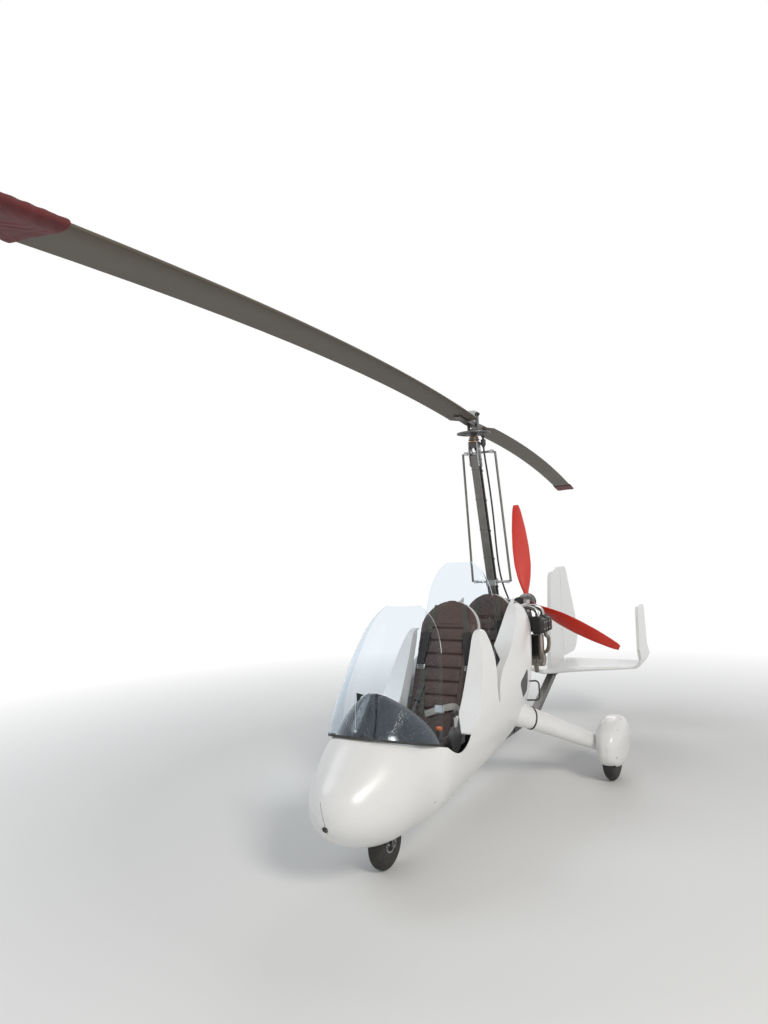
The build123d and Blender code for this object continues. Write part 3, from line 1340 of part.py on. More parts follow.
# Rudder pedals on a cross tube over the wheel well
PEDAL_Y = -1652.0
PEDAL_Z = 400.0
with BuildPart() as rudder_pedals:
    with Locations(Location((0, PEDAL_Y, PEDAL_Z), (0, 90, 0))):
        Cylinder(9, 440)
    for x in (-84, 84):
        with Locations((x, PEDAL_Y, (PEDAL_Z + WELL[3]) / 2)):
            Box(10, 30, PEDAL_Z - WELL[3])
    for x in (-160, 160):
        with Locations(Location((x, PEDAL_Y - 14, PEDAL_Z + 50), (16, 0, 0))):
            Box(70, 8, 110)
with BuildPart() as steering_assembly:
    add(steering_head.part)
    add(rudder_pedals.part)
save(steering_assembly, "steering_assembly")

# Wire step under each side of the pod
STEP_R = 6.0
STEP_OUT = 396.0
STEP_Y = 70.0
STEP_TOP = 776.0
STEP_FOOT = 634.0
STEP_BEND = 28.0
with BuildPart() as boarding_steps:
    with BuildLine() as step_line:
        FilletPolyline((STEP_OUT - 96, STEP_Y, STEP_TOP - 12), (STEP_OUT, STEP_Y, STEP_TOP),
                       (STEP_OUT, STEP_Y, STEP_FOOT), (STEP_OUT - 96, STEP_Y, STEP_FOOT - 8), radius=STEP_BEND)
    with BuildSketch(Plane(origin=step_line.line @ 0, z_dir=step_line.line % 0)):
        Circle(STEP_R)
    sweep(path=step_line.line)
    mirror(about=Plane.YZ)
    add(pod_outer.part, mode=Mode.SUBTRACT)
save(boarding_steps, "boarding_steps")

print("nodes", len(os.listdir("parts")))
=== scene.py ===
# %% [markdown]
# # A two-seat tandem gyrocopter
# The CAD model gives every rigid part its place and size. This script loads it as a fixed frame, gives each part
# the finish of the real material, and adds what a CAD solid leaves out: sewn seats, belts, hoses, bolts, tread.
# Everything is in metres. The nose points towards -Y, the port side is +X and the ground is at Z = 0.

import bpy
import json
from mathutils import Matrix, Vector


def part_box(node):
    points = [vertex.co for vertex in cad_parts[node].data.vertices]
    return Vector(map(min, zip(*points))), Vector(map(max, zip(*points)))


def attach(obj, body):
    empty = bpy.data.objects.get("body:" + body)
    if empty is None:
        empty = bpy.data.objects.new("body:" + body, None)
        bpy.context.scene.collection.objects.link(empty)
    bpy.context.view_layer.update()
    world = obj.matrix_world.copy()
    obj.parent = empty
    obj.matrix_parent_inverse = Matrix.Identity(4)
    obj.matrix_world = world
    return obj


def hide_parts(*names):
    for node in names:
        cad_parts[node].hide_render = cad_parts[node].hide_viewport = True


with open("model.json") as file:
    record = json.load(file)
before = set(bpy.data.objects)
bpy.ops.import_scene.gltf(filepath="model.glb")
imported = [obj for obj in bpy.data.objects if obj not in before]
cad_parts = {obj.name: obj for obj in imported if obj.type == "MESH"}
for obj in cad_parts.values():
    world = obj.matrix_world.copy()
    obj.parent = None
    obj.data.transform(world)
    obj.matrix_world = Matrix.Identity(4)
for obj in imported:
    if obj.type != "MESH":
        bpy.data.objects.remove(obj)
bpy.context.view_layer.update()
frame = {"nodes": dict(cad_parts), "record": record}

import itertools
import json
import math

import bmesh
import bpy
from mathutils import Matrix, Vector
from mathutils.bvhtree import BVHTree

NODES = frame["nodes"]
scene = bpy.context.scene

# %% [markdown]
# ## Camera
# The photograph is a hand-held wide shot from a little over head height, standing off the port bow, with the
# camera turned a little about its own axis. A camera's three axes make the columns of its rotation matrix, so
# the heading, pitch and roll that were measured are turned into those axes instead of into Euler angles.

# %% Camera
CAMERA_PLACE = Vector((2.1410, -5.2043, 1.8186))
HEADING, PITCH, ROLL = math.radians(29.617), math.radians(2.581), math.radians(-2.331)
FOCAL_PIXELS = 732.05
FRAME_HEIGHT_PIXELS = 1024

forward = Vector((-math.sin(HEADING) * math.cos(PITCH), math.cos(HEADING) * math.cos(PITCH), math.sin(PITCH)))
level_right = Vector((math.cos(HEADING), math.sin(HEADING), 0.0))
level_up = level_right.cross(forward)
right = level_right * math.cos(ROLL) + level_up * math.sin(ROLL)
up = level_up * math.cos(ROLL) - level_right * math.sin(ROLL)

camera_data = bpy.data.cameras.new("camera")
camera_data.sensor_width = 36.0
camera_data.lens = FOCAL_PIXELS / FRAME_HEIGHT_PIXELS * 36.0
camera_data.clip_end = 200.0
camera = bpy.data.objects.new("camera", camera_data)
turn = Matrix((right, up, -forward)).transposed()
camera.matrix_world = Matrix.Translation(CAMERA_PLACE) @ turn.to_4x4()
scene.collection.objects.link(camera)
scene.camera = camera
print("lens", round(camera_data.lens, 2), "mm")

# %% [markdown]
# ## A short way to write node graphs
# The light, the floor and every finish are small graphs of shader nodes. The helper below adds a node, sets its
# values and joins its inputs in one line, so that each graph reads as a recipe. An input goes by its label, or
# by its number (i0, i1) where two inputs share a label.

# %% Graph helper
class Graph:
    def __init__(self, tree):
        self.tree = tree
        tree.nodes.clear()

    def feed(self, socket, value):
        if isinstance(value, bpy.types.NodeSocket):
            self.tree.links.new(value, socket)
        else:
            socket.default_value = value

    def add(self, kind, settings=None, **inputs):
        node = self.tree.nodes.new("ShaderNode" + kind)
        for key, value in (settings or {}).items():
            setattr(node, key, value)
        for key, value in inputs.items():
            numbered = key[0] == "i" and key[1:].isdigit()
            self.feed(node.inputs[int(key[1:]) if numbered else key.replace("_", " ")], value)
        return node

    def math(self, operation, a, b=0.0):
        return self.add("Math", {"operation": operation}, i0=a, i1=b).outputs[0]

    def mix(self, factor, a, b, kind="MIX"):
        node = self.add("Mix", {"data_type": "RGBA", "blend_type": kind}, i0=factor, i6=a, i7=b)
        return node.outputs[2]

    def spread(self, value, low, high, to_low=0.0, to_high=1.0):
        node = self.add("MapRange", None, Value=value, From_Min=low, From_Max=high, To_Min=to_low, To_Max=to_high)
        return node.outputs[0]


# %% [markdown]
# ## Background and floor
# The world is white to the camera, to mirrors and to glass, but lights the object at a plain level, so white
# gelcoat keeps its shading. A pale floor catches the shadow and fades to pure white away from the aircraft, so
# that no horizon shows.

# %% World
WHITE = (1.0, 1.0, 1.0, 1.0)
SKY_COLOUR, SKY_STRENGTH = (0.93, 0.96, 1.0, 1.0), 0.38

scene.view_settings.view_transform = "Standard"
scene.world = bpy.data.worlds.new("studio")
scene.world.use_nodes = True
graph = Graph(scene.world.node_tree)
ray = graph.add("LightPath").outputs
seen_directly = graph.math("MAXIMUM", ray["Is Camera Ray"], ray["Is Glossy Ray"])
seen_directly = graph.math("MAXIMUM", seen_directly, ray["Is Transmission Ray"])
sky = graph.add("Background", None, Color=SKY_COLOUR, Strength=SKY_STRENGTH)
backdrop = graph.add("Background", None, Color=WHITE, Strength=1.0)
choice = graph.add("MixShader", None, i0=seen_directly, i1=sky.outputs[0], i2=backdrop.outputs[0])
graph.add("OutputWorld", None, Surface=choice.outputs[0])
print("world:", len(graph.tree.nodes), "nodes")

# %% Floor
FLOOR_REACH = 60
FADE_START, FADE_END = 2.6, 7.0

floor_data = bpy.data.meshes.new("floor")
floor_data.from_pydata([(-FLOOR_REACH, -FLOOR_REACH, 0), (FLOOR_REACH, -FLOOR_REACH, 0),
                        (FLOOR_REACH, FLOOR_REACH, 0), (-FLOOR_REACH, FLOOR_REACH, 0)], [], [(0, 1, 2, 3)])
floor = bpy.data.objects.new("floor", floor_data)
scene.collection.objects.link(floor)
floor_paint = bpy.data.materials.new("floor_paint")
floor_paint.use_nodes = True
graph = Graph(floor_paint.node_tree)
chalk = graph.add("BsdfPrincipled", None, Base_Color=(0.80, 0.80, 0.79, 1.0), Roughness=0.9, Specular_IOR_Level=0.1)
white = graph.add("Emission", None, Color=WHITE, Strength=1.0)
away = graph.add("VectorMath", {"operation": "LENGTH"}, i0=graph.add("TexCoord").outputs["Object"])
fade = graph.spread(away.outputs["Value"], FADE_START, FADE_END)
blend = graph.add("MixShader", None, i0=fade, i1=chalk.outputs[0], i2=white.outputs[0])
graph.add("OutputMaterial", None, Surface=blend.outputs[0])
floor_data.materials.append(floor_paint)

# %% [markdown]
# ## Lamps
# One large lamp stands for the low sun off the port bow, one for the open sky on the other side, and a third
# lights the tail from behind.

# %% Lamps
def lamp(name, place, target, size, watts, colour):
    data = bpy.data.lights.new(name, "AREA")
    data.shape = "DISK"
    data.size = size
    data.energy = watts
    data.color = colour
    thing = bpy.data.objects.new(name, data)
    scene.collection.objects.link(thing)
    thing.location = place
    thing.rotation_euler = (Vector(target) - Vector(place)).to_track_quat("-Z", "Y").to_euler()


lamp("low_sun", (7.5, -6.0, 6.5), (0, 0, 1.0), 3.0, 540, (1.0, 0.95, 0.88))
lamp("open_sky", (-7.0, -4.0, 8.0), (0, 0, 1.2), 6.0, 200, (0.90, 0.95, 1.0))
lamp("behind", (-2.0, 8.0, 6.0), (0, 0, 1.2), 5.0, 170, (1.0, 1.0, 1.0))
print(len(bpy.data.lights), "lamps")

# %% [markdown]
# ## Shared effects
# `mottle` shifts one colour towards another in soft patches. `relief` gives a fine height for a Bump node:
# orange peel on paint, or grit on a casting, by its scale. `scratches` are thin curved lines for clear sheet.
# `dust` settles on faces that look up. `worn_edge` compares the true normal with a rounded
# one, so it is bright only along edges. `brushed` is noise stretched along one axis, as a drawn tube shows.
# `weave` crosses two waves on the UV map, for cloth.

# %% Making a group
def effect(name, inputs, outputs):
    tree = bpy.data.node_groups.new(name, "ShaderNodeTree")
    graph = Graph(tree)
    for label, kind, value in inputs:
        socket = tree.interface.new_socket(name=label, in_out="INPUT", socket_type="NodeSocket" + kind)
        socket.default_value = value
    for label, kind in outputs:
        tree.interface.new_socket(name=label, in_out="OUTPUT", socket_type="NodeSocket" + kind)
    return graph, tree.nodes.new("NodeGroupInput").outputs, tree.nodes.new("NodeGroupOutput").inputs


# %% Mottle and relief
graph, given, made = effect("mottle", [("Colour", "Color", (0.8, 0.8, 0.8, 1)), ("Patch", "Color", (0.6, 0.6, 0.6, 1)),
                                       ("Scale", "Float", 4.0), ("Amount", "Float", 0.3)], [("Colour", "Color")])
spot = graph.add("TexCoord").outputs["Object"]
cloud = graph.add("TexNoise", None, Vector=spot, Scale=given["Scale"], Detail=5.0, Roughness=0.6).outputs[0]
cloud = graph.spread(cloud, 0.35, 0.72)
share = graph.math("MULTIPLY", cloud, given["Amount"])
graph.feed(made["Colour"], graph.mix(share, given["Colour"], given["Patch"]))
MOTTLE = graph.tree

graph, given, made = effect("relief", [("Scale", "Float", 400.0), ("Grit", "Float", 0.5)], [("Height", "Float")])
spot = graph.add("TexCoord").outputs["Object"]
fine = graph.add("TexNoise", None, Vector=spot, Scale=given["Scale"], Detail=3.0, Roughness=given["Grit"]).outputs[0]
graph.feed(made["Height"], fine)
RELIEF = graph.tree

# %% Scratches and dust
graph, given, made = effect("scratches", [("Scale", "Float", 6.0), ("Width", "Float", 0.02)], [("Mask", "Float")])
spot = graph.add("TexCoord").outputs["Object"]
lines = None
for turn_by, stretch in ((0.4, 1.0), (1.9, 1.7)):
    turned = graph.add("Mapping", None, Vector=spot, Rotation=(turn_by, turn_by * 2, turn_by * 3),
                       Scale=(stretch, stretch * 0.3, stretch)).outputs[0]
    bent = graph.add("TexNoise", None, Vector=turned, Scale=given["Scale"], Detail=2.0).outputs[0]
    ridge = graph.math("ABSOLUTE", graph.math("SUBTRACT", bent, 0.5))
    line = graph.math("LESS_THAN", ridge, graph.math("MULTIPLY", given["Width"], 0.1))
    lines = line if lines is None else graph.math("MAXIMUM", lines, line)
broken = graph.add("TexNoise", None, Vector=spot, Scale=23.0).outputs[0]
lines = graph.math("MULTIPLY", lines, graph.math("GREATER_THAN", broken, 0.53))
graph.feed(made["Mask"], lines)
SCRATCHES = graph.tree

graph, given, made = effect("dust", [("Scale", "Float", 14.0), ("Amount", "Float", 0.4)], [("Mask", "Float")])
spot = graph.add("TexCoord")
height = graph.add("SeparateXYZ", None, Vector=spot.outputs["Normal"]).outputs[2]
upward = graph.spread(height, -0.2, 1.0, 0.15, 1.0)
cloud = graph.add("TexNoise", None, Vector=spot.outputs["Object"], Scale=given["Scale"], Detail=8.0,
                  Roughness=0.7).outputs[0]
film = graph.math("MULTIPLY", graph.spread(cloud, 0.4, 0.75), upward)
graph.feed(made["Mask"], graph.math("MULTIPLY", film, given["Amount"]))
DUST = graph.tree

# %% Worn edges, brushed lines and weave
graph, given, made = effect("worn_edge", [("Radius", "Float", 0.002), ("Amount", "Float", 1.0)], [("Mask", "Float")])
rounded = graph.add("Bevel", {"samples": 3}, Radius=given["Radius"]).outputs[0]
true = graph.add("NewGeometry").outputs["True Normal"]
agree = graph.add("VectorMath", {"operation": "DOT_PRODUCT"}, i0=rounded, i1=true).outputs["Value"]
edge = graph.spread(agree, 0.985, 0.85)
spot = graph.add("TexCoord").outputs["Object"]
broken = graph.add("TexNoise", None, Vector=spot, Scale=60.0, Detail=4.0).outputs[0]
edge = graph.math("MULTIPLY", edge, graph.spread(broken, 0.40, 0.62))
graph.feed(made["Mask"], graph.math("MULTIPLY", edge, given["Amount"]))
WORN_EDGE = graph.tree

graph, given, made = effect("brushed", [("Stretch", "Vector", (1.0, 1.0, 0.02)), ("Scale", "Float", 900.0)],
                            [("Height", "Float")])
spot = graph.add("TexCoord").outputs["Object"]
drawn = graph.add("VectorMath", {"operation": "MULTIPLY"}, i0=spot, i1=given["Stretch"]).outputs[0]
grain = graph.add("TexNoise", None, Vector=drawn, Scale=given["Scale"], Detail=3.0).outputs[0]
graph.feed(made["Height"], grain)
BRUSHED = graph.tree

graph, given, made = effect("weave", [("Threads per metre", "Float", 900.0)], [("Height", "Float"), ("Shade", "Float")])
spot = graph.add("TexCoord").outputs["UV"]
parts = graph.add("SeparateXYZ", None, Vector=spot)
turns = graph.math("MULTIPLY", given["Threads per metre"], math.pi)
over = graph.math("SINE", graph.math("MULTIPLY", parts.outputs[0], turns))
under = graph.math("SINE", graph.math("MULTIPLY", parts.outputs[1], turns))
cross = graph.math("MULTIPLY", over, under)
graph.feed(made["Height"], graph.spread(cross, -1.0, 1.0))
graph.feed(made["Shade"], graph.spread(cross, -1.0, 1.0, 0.55, 1.0))
WEAVE = graph.tree
print("effects:", [g.name for g in bpy.data.node_groups])

# %% [markdown]
# ## Finishes
# Each finish below is one material. The values that are the same all over sit on the shader's own sockets,
# and the groups drive only what changes over the surface: colour, roughness and the small relief.

# %% Finish helper
def use(graph, group, output=0, **inputs):
    return graph.add("Group", {"node_tree": group}, **inputs).outputs[output]


def finish_of(name, roughness=0.5, **values):
    material = bpy.data.materials.new(name)
    material.use_nodes = True
    graph = Graph(material.node_tree)
    surface = graph.add("BsdfPrincipled", None, Roughness=roughness, **values)
    graph.add("OutputMaterial", None, Surface=surface.outputs[0])
    return material, graph, surface


def join(graph, source, surface, socket):
    graph.feed(surface.inputs[socket], source)


def bump(graph, surface, height, strength, distance):
    relief = graph.add("Bump", None, Strength=strength, Distance=distance, Height=height)
    join(graph, relief.outputs[0], surface, "Normal")


FINISH = {}

# %% [markdown]
# ## Paint and moulded plastic
# Painted and moulded parts share one recipe: a colour with soft patches, a film of pale dust that also dulls
# the gloss, and a fine relief. The propeller is red in front and black on the faces that look aft.

# %% Painted and moulded finishes
DUST_COLOUR = (0.42, 0.39, 0.34, 1)
FACES_AFT = 0.35


def paint(name, colour, patch, roughness, dust, coat=0.0, peel=260.0, metallic=0.0, **more):
    material, graph, surface = finish_of(name, roughness, Metallic=metallic, Coat_Weight=coat,
                                         Coat_Roughness=0.12, **more)
    base = use(graph, MOTTLE, Colour=(*colour, 1), Patch=(*patch, 1), Scale=3.0, Amount=0.5)
    film = use(graph, DUST, Scale=16.0, Amount=dust)
    join(graph, graph.mix(film, base, DUST_COLOUR), surface, "Base Color")
    join(graph, graph.spread(film, 0.0, 1.0, roughness, min(1.0, roughness + 0.5)), surface, "Roughness")
    bump(graph, surface, use(graph, RELIEF, Scale=peel, Grit=0.4), 0.04, 0.002)
    FINISH[name] = material
    return graph, surface


paint("white_gelcoat", (0.78, 0.78, 0.77), (0.73, 0.735, 0.73), 0.30, 0.08, coat=0.3)
paint("blade_grey", (0.082, 0.069, 0.051), (0.060, 0.050, 0.037), 0.6, 0.08, peel=90.0, Specular_IOR_Level=0.3)
paint("black_gloss", (0.012, 0.013, 0.016), (0.016, 0.016, 0.019), 0.10, 0.03, coat=0.7)
paint("dark_composite", (0.028, 0.028, 0.03), (0.045, 0.045, 0.045), 0.5, 0.25, peel=900.0)
paint("engine_black", (0.02, 0.02, 0.021), (0.045, 0.042, 0.038), 0.55, 0.3, peel=1400.0)
paint("black_rubber", (0.014, 0.014, 0.014), (0.03, 0.03, 0.03), 0.7, 0.25, peel=1100.0)

graph, surface = paint("prop_red", (0.66, 0.030, 0.012), (0.52, 0.016, 0.009), 0.30, 0.03, coat=0.35)
facing = graph.add("SeparateXYZ", None, Vector=graph.add("TexCoord").outputs["Normal"]).outputs[1]
old = surface.inputs["Base Color"].links[0].from_socket
behind = graph.math("GREATER_THAN", facing, FACES_AFT)
join(graph, graph.mix(behind, old, (0.012, 0.012, 0.014, 1)), surface, "Base Color")

material, graph, surface = finish_of("tyre_black", 0.75)
base = use(graph, MOTTLE, Colour=(0.02, 0.02, 0.02, 1), Patch=(0.035, 0.033, 0.03, 1), Scale=20.0, Amount=0.8)
film = use(graph, DUST, Scale=30.0, Amount=0.5)
join(graph, graph.mix(film, base, (0.20, 0.17, 0.13, 1)), surface, "Base Color")
bump(graph, surface, use(graph, RELIEF, Scale=1500.0, Grit=0.6), 0.15, 0.001)
FINISH["tyre_black"] = material

# %% [markdown]
# ## Metals
# A metal has a mottled colour and fine lines along the way it was drawn or turned. The lines vary the gloss, and
# where `wear` is given the edges show brighter bare metal.

# %% Metals
BARE_METAL = (0.75, 0.75, 0.76, 1)


def metal(name, colour, patch, roughness, stretch=(1.0, 1.0, 0.03), wear=0.0, grain=900.0):
    material, graph, surface = finish_of(name, roughness, Metallic=1.0)
    base = use(graph, MOTTLE, Colour=(*colour, 1), Patch=(*patch, 1), Scale=9.0, Amount=0.7)
    lines = use(graph, BRUSHED, Stretch=stretch, Scale=grain)
    if wear:
        edge = use(graph, WORN_EDGE, Radius=0.0015, Amount=wear)
        base = graph.mix(edge, base, BARE_METAL)
    join(graph, base, surface, "Base Color")
    join(graph, graph.spread(lines, 0.3, 0.7, roughness - 0.08, roughness + 0.12), surface, "Roughness")
    bump(graph, surface, lines, 0.05, 0.001)
    FINISH[name] = material


metal("grey_aluminium", (0.20, 0.195, 0.185), (0.14, 0.135, 0.125), 0.45, wear=0.5)
metal("bright_aluminium", (0.48, 0.485, 0.49), (0.36, 0.36, 0.37), 0.34, wear=0.3)
metal("steel", (0.30, 0.30, 0.305), (0.21, 0.205, 0.20), 0.38, stretch=(0.05, 1.0, 1.0))
metal("dark_steel", (0.075, 0.073, 0.070), (0.13, 0.115, 0.095), 0.42, stretch=(1.0, 1.0, 0.1), wear=0.5)
metal("copper_ring", (0.52, 0.26, 0.13), (0.36, 0.22, 0.14), 0.35)
metal("exhaust_steel", (0.34, 0.30, 0.26), (0.22, 0.17, 0.14), 0.45, stretch=(0.05, 1.0, 1.0))
metal("rim_alloy", (0.55, 0.55, 0.56), (0.42, 0.42, 0.42), 0.4, stretch=(1.0, 0.3, 0.3))

# %% [markdown]
# ## Windshields
# The glazing is a moulded acrylic sheet. It bends light a little, mirrors the sky at its edges and carries fine
# scratches and dried drops. Lamps are let through by mixing in a clear shader for shadow rays, because a glass
# shader alone would leave the cockpit as dark as under a solid roof.

# %% Clear sheet
material, graph, surface = finish_of("clear_glazing", 0.03, IOR=1.10, Transmission_Weight=1.0,
                                     Base_Color=(0.84, 0.90, 0.95, 1), Specular_IOR_Level=0.5)
lines = use(graph, SCRATCHES, Scale=9.0, Width=0.008)
film = use(graph, DUST, Scale=40.0, Amount=0.10)
worn = graph.math("MAXIMUM", lines, film)
join(graph, graph.spread(worn, 0.0, 1.0, 0.02, 0.28), surface, "Roughness")
clear = graph.add("BsdfTransparent", None, Color=(0.9, 0.93, 0.95, 1))
mixer = graph.add("MixShader", None, i0=graph.add("LightPath").outputs["Is Shadow Ray"],
                  i1=surface.outputs[0], i2=clear.outputs[0])
output = next(node for node in graph.tree.nodes if node.type == "OUTPUT_MATERIAL")
graph.feed(output.inputs["Surface"], mixer.outputs[0])
FINISH["clear_glazing"] = material

# %% [markdown]
# ## Leather, webbing and thread
# The leather's pores are small cells, a little deeper and duller along their borders. Cloth and webbing take
# their threads from the `weave` group, so they need a UV map in metres, and a faint sheen softens their edges.

# %% Soft finishes
material, graph, surface = finish_of("seat_leather", 0.42)
cells = graph.add("TexVoronoi", {"feature": "DISTANCE_TO_EDGE"}, Vector=graph.add("TexCoord").outputs["Object"],
                  Scale=520.0).outputs[0]
pore = graph.spread(cells, 0.0, 0.25)
base = use(graph, MOTTLE, Colour=(0.060, 0.031, 0.024, 1), Patch=(0.028, 0.016, 0.014, 1), Scale=7.0, Amount=0.8)
film = use(graph, DUST, Scale=25.0, Amount=0.10)
join(graph, graph.mix(film, base, (0.16, 0.13, 0.11, 1)), surface, "Base Color")
join(graph, graph.spread(pore, 0.0, 1.0, 0.62, 0.40), surface, "Roughness")
bump(graph, surface, pore, 0.35, 0.0006)
FINISH["seat_leather"] = material


def cloth(name, colour, threads, roughness=0.8):
    material, graph, surface = finish_of(name, roughness)
    surface.inputs["Sheen Weight"].default_value = 0.06
    shade = use(graph, WEAVE, 1, Threads_per_metre=threads)
    base = use(graph, MOTTLE, Colour=(*colour, 1), Patch=(*[c * 0.6 for c in colour], 1), Scale=12.0, Amount=0.7)
    film = use(graph, DUST, Scale=22.0, Amount=0.12)
    base = graph.mix(film, base, (0.20, 0.17, 0.14, 1))
    join(graph, graph.mix(1.0, base, shade, "MULTIPLY"), surface, "Base Color")
    bump(graph, surface, use(graph, WEAVE, 0, Threads_per_metre=threads), 0.4, 0.0008)
    FINISH[name] = material


cloth("sock_red", (0.12, 0.006, 0.008), 700.0)
cloth("black_webbing", (0.02, 0.02, 0.022), 900.0)
cloth("grey_webbing", (0.085, 0.082, 0.070), 900.0)
cloth("pale_webbing", (0.42, 0.41, 0.38), 900.0)
cloth("pennant_green", (0.012, 0.055, 0.035), 1600.0)
cloth("stitch_thread", (0.055, 0.040, 0.034), 3000.0)
paint("cap_orange", (0.62, 0.13, 0.02), (0.50, 0.10, 0.02), 0.38, 0.15)
paint("dial_black", (0.010, 0.010, 0.011), (0.014, 0.014, 0.015), 0.6, 0.02)
paint("mark_white", (0.75, 0.75, 0.72), (0.68, 0.68, 0.66), 0.6, 0.02)
print(len(FINISH), "finishes")

# %% [markdown]
# ## Dressing the CAD parts
# The record names a slot for each CAD part, and each slot is one of the finishes above. A few steel parts of the
# rotor head and the mounts are darker than bare steel.

# %% Dress the CAD nodes
SLOT_OF = {part["node"]: part["material_slot"] for part in frame["record"]["subparts"]}


def dress(name, finish):
    data = NODES[name].data
    if len(data.materials) == 0:
        data.materials.append(FINISH[finish])
    for index in range(len(data.materials)):
        data.materials[index] = FINISH[finish]


for name, chosen in SLOT_OF.items():
    if chosen in FINISH:
        dress(name, chosen)
for name in ("rotor_tower", "hub_bar", "head_block", "engine_mount", "rudder_hinges"):
    dress(name, "dark_steel")

# %% [markdown]
# ## Small helpers for the added pieces
# Every added piece is a mesh at the origin, with its place in the mesh, as the CAD nodes are. `keep` makes the
# object, gives it its finish and lets it ride on a body. `together` joins several meshes into one piece, and
# `applied` gives the mesh that an object's modifiers make.

# %% Piece helpers
SHARP_FROM = math.radians(38)


def keep(name, data, finish, body, smooth=True, stands_for=()):
    data.name = name
    thing = object_of(name, data)
    data.materials.clear()
    data.materials.append(FINISH[finish])
    if smooth:
        data.shade_smooth()
        data.set_sharp_from_angle(angle=SHARP_FROM)
    if stands_for:
        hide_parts(*stands_for)
    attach(thing, body)
    return thing


def mesh_of(form):
    data = bpy.data.meshes.new("form")
    bmesh.ops.remove_doubles(form, verts=form.verts, dist=1e-6)
    bmesh.ops.recalc_face_normals(form, faces=form.faces)
    form.to_mesh(data)
    form.free()
    return data


def together(parts):
    form = bmesh.new()
    for data in parts:
        form.from_mesh(data)
        bpy.data.meshes.remove(data)
    data = bpy.data.meshes.new("form")
    form.to_mesh(data)
    form.free()
    return data


def applied(thing):
    return bpy.data.meshes.new_from_object(thing.evaluated_get(bpy.context.evaluated_depsgraph_get()))


def object_of(name, data):
    thing = bpy.data.objects.new(name, data)
    scene.collection.objects.link(thing)
    return thing


# %% [markdown]
# ## Basic forms
# `lathe` turns a profile of radius and height about an axis, `block` is a box with rounded edges, and `tube`
# gives a line through points a round section. `frame_on` turns a form to stand on a place, along an axis.

# %% Basic forms
def frame_on(place, axis, turn=0.0):
    quat = Vector(axis).normalized().to_track_quat("Z", "Y")
    return Matrix.Translation(Vector(place)) @ quat.to_matrix().to_4x4() @ Matrix.Rotation(turn, 4, "Z")


def lathe(profile, place, axis, steps=32):
    form = bmesh.new()
    rings = []
    for radius, height in profile:
        if radius < 1e-6:
            rings.append([form.verts.new((0, 0, height))])
            continue
        rings.append([form.verts.new((radius * math.cos(2 * math.pi * k / steps),
                                      radius * math.sin(2 * math.pi * k / steps), height)) for k in range(steps)])
    for low, high in zip(rings, rings[1:]):
        for k in range(steps):
            corners = [low[k % len(low)], low[(k + 1) % len(low)], high[(k + 1) % len(high)], high[k % len(high)]]
            corners = list(dict.fromkeys(corners))
            if len(corners) > 2:
                form.faces.new(corners)
    bmesh.ops.transform(form, matrix=frame_on(place, axis), verts=form.verts)
    return mesh_of(form)


def block(size, place, axis=(0, 0, 1), turn=0.0, round_by=0.002, segments=2):
    form = bmesh.new()
    bmesh.ops.create_cube(form, size=1.0)
    bmesh.ops.scale(form, vec=size, verts=form.verts)
    if round_by:
        bmesh.ops.bevel(form, geom=form.edges, offset=round_by, segments=segments, affect="EDGES")
    bmesh.ops.transform(form, matrix=frame_on(place, axis, turn), verts=form.verts)
    return mesh_of(form)


def tube(points, radius, smooth_path=True, sides=3, steps=8):
    data = bpy.data.curves.new("path", "CURVE")
    data.dimensions = "3D"
    data.bevel_depth = radius
    data.bevel_resolution = sides
    data.resolution_u = steps
    data.use_fill_caps = True
    line = data.splines.new("NURBS" if smooth_path else "POLY")
    line.points.add(len(points) - 1)
    for point, place in zip(line.points, points):
        point.co = (*place, 1.0)
    if smooth_path:
        line.order_u = 3
        line.use_endpoint_u = True
    carrier = object_of("path", data)
    made = applied(carrier)
    bpy.data.objects.remove(carrier)
    bpy.data.curves.remove(data)
    return made


# %% [markdown]
# ## Finding the skin
# `onto` sends a ray at a CAD part and gives the place where it lands and the way the skin faces there, so that a
# screw or a strap sits on what carries it. `landed` does this for a list of rays and keeps those that hit a face
# turned towards them, each with the direction in which the small form lies.

# %% Rays
SKINS = {}


def skin(data):
    return BVHTree.FromPolygons([v.co for v in data.vertices], [list(p.vertices) for p in data.polygons])


def onto(name, start, toward):
    if name not in SKINS:
        SKINS[name] = skin(NODES[name].data)
    place, normal, face, far = SKINS[name].ray_cast(Vector(start), Vector(toward).normalized())
    if place is None:
        return None, None
    if normal.dot(Vector(toward)) > 0:
        normal = -normal
    return place, normal


def landed(name, rays, along, least=0.0):
    spots = []
    for start, toward in rays:
        place, normal = onto(name, start, toward)
        if place is not None and abs(normal.dot(Vector(toward))) > least:
            spots.append((place, normal, along))
    return spots


# %% [markdown]
# ## Repeats
# Screws, bolts, teeth, fins and stitches are one small form each, set many times. Geometry Nodes does this from
# a few named sizes: a ring for bolt circles and teeth, a row for fins, and a cloud of points that carry the
# direction they face for screws on curved skin. The result is turned into a plain mesh, because an exported
# model keeps no instances.

# %% Starting a tree
def new_tree(name, inputs):
    tree = bpy.data.node_groups.new(name, "GeometryNodeTree")
    tree.interface.new_socket(name="Geometry", in_out="INPUT", socket_type="NodeSocketGeometry")
    for label, kind in inputs:
        tree.interface.new_socket(name=label, in_out="INPUT", socket_type="NodeSocket" + kind)
    tree.interface.new_socket(name="Geometry", in_out="OUTPUT", socket_type="NodeSocketGeometry")
    given = tree.nodes.new("NodeGroupInput").outputs
    out = tree.nodes.new("NodeGroupOutput").inputs
    return tree, given, out


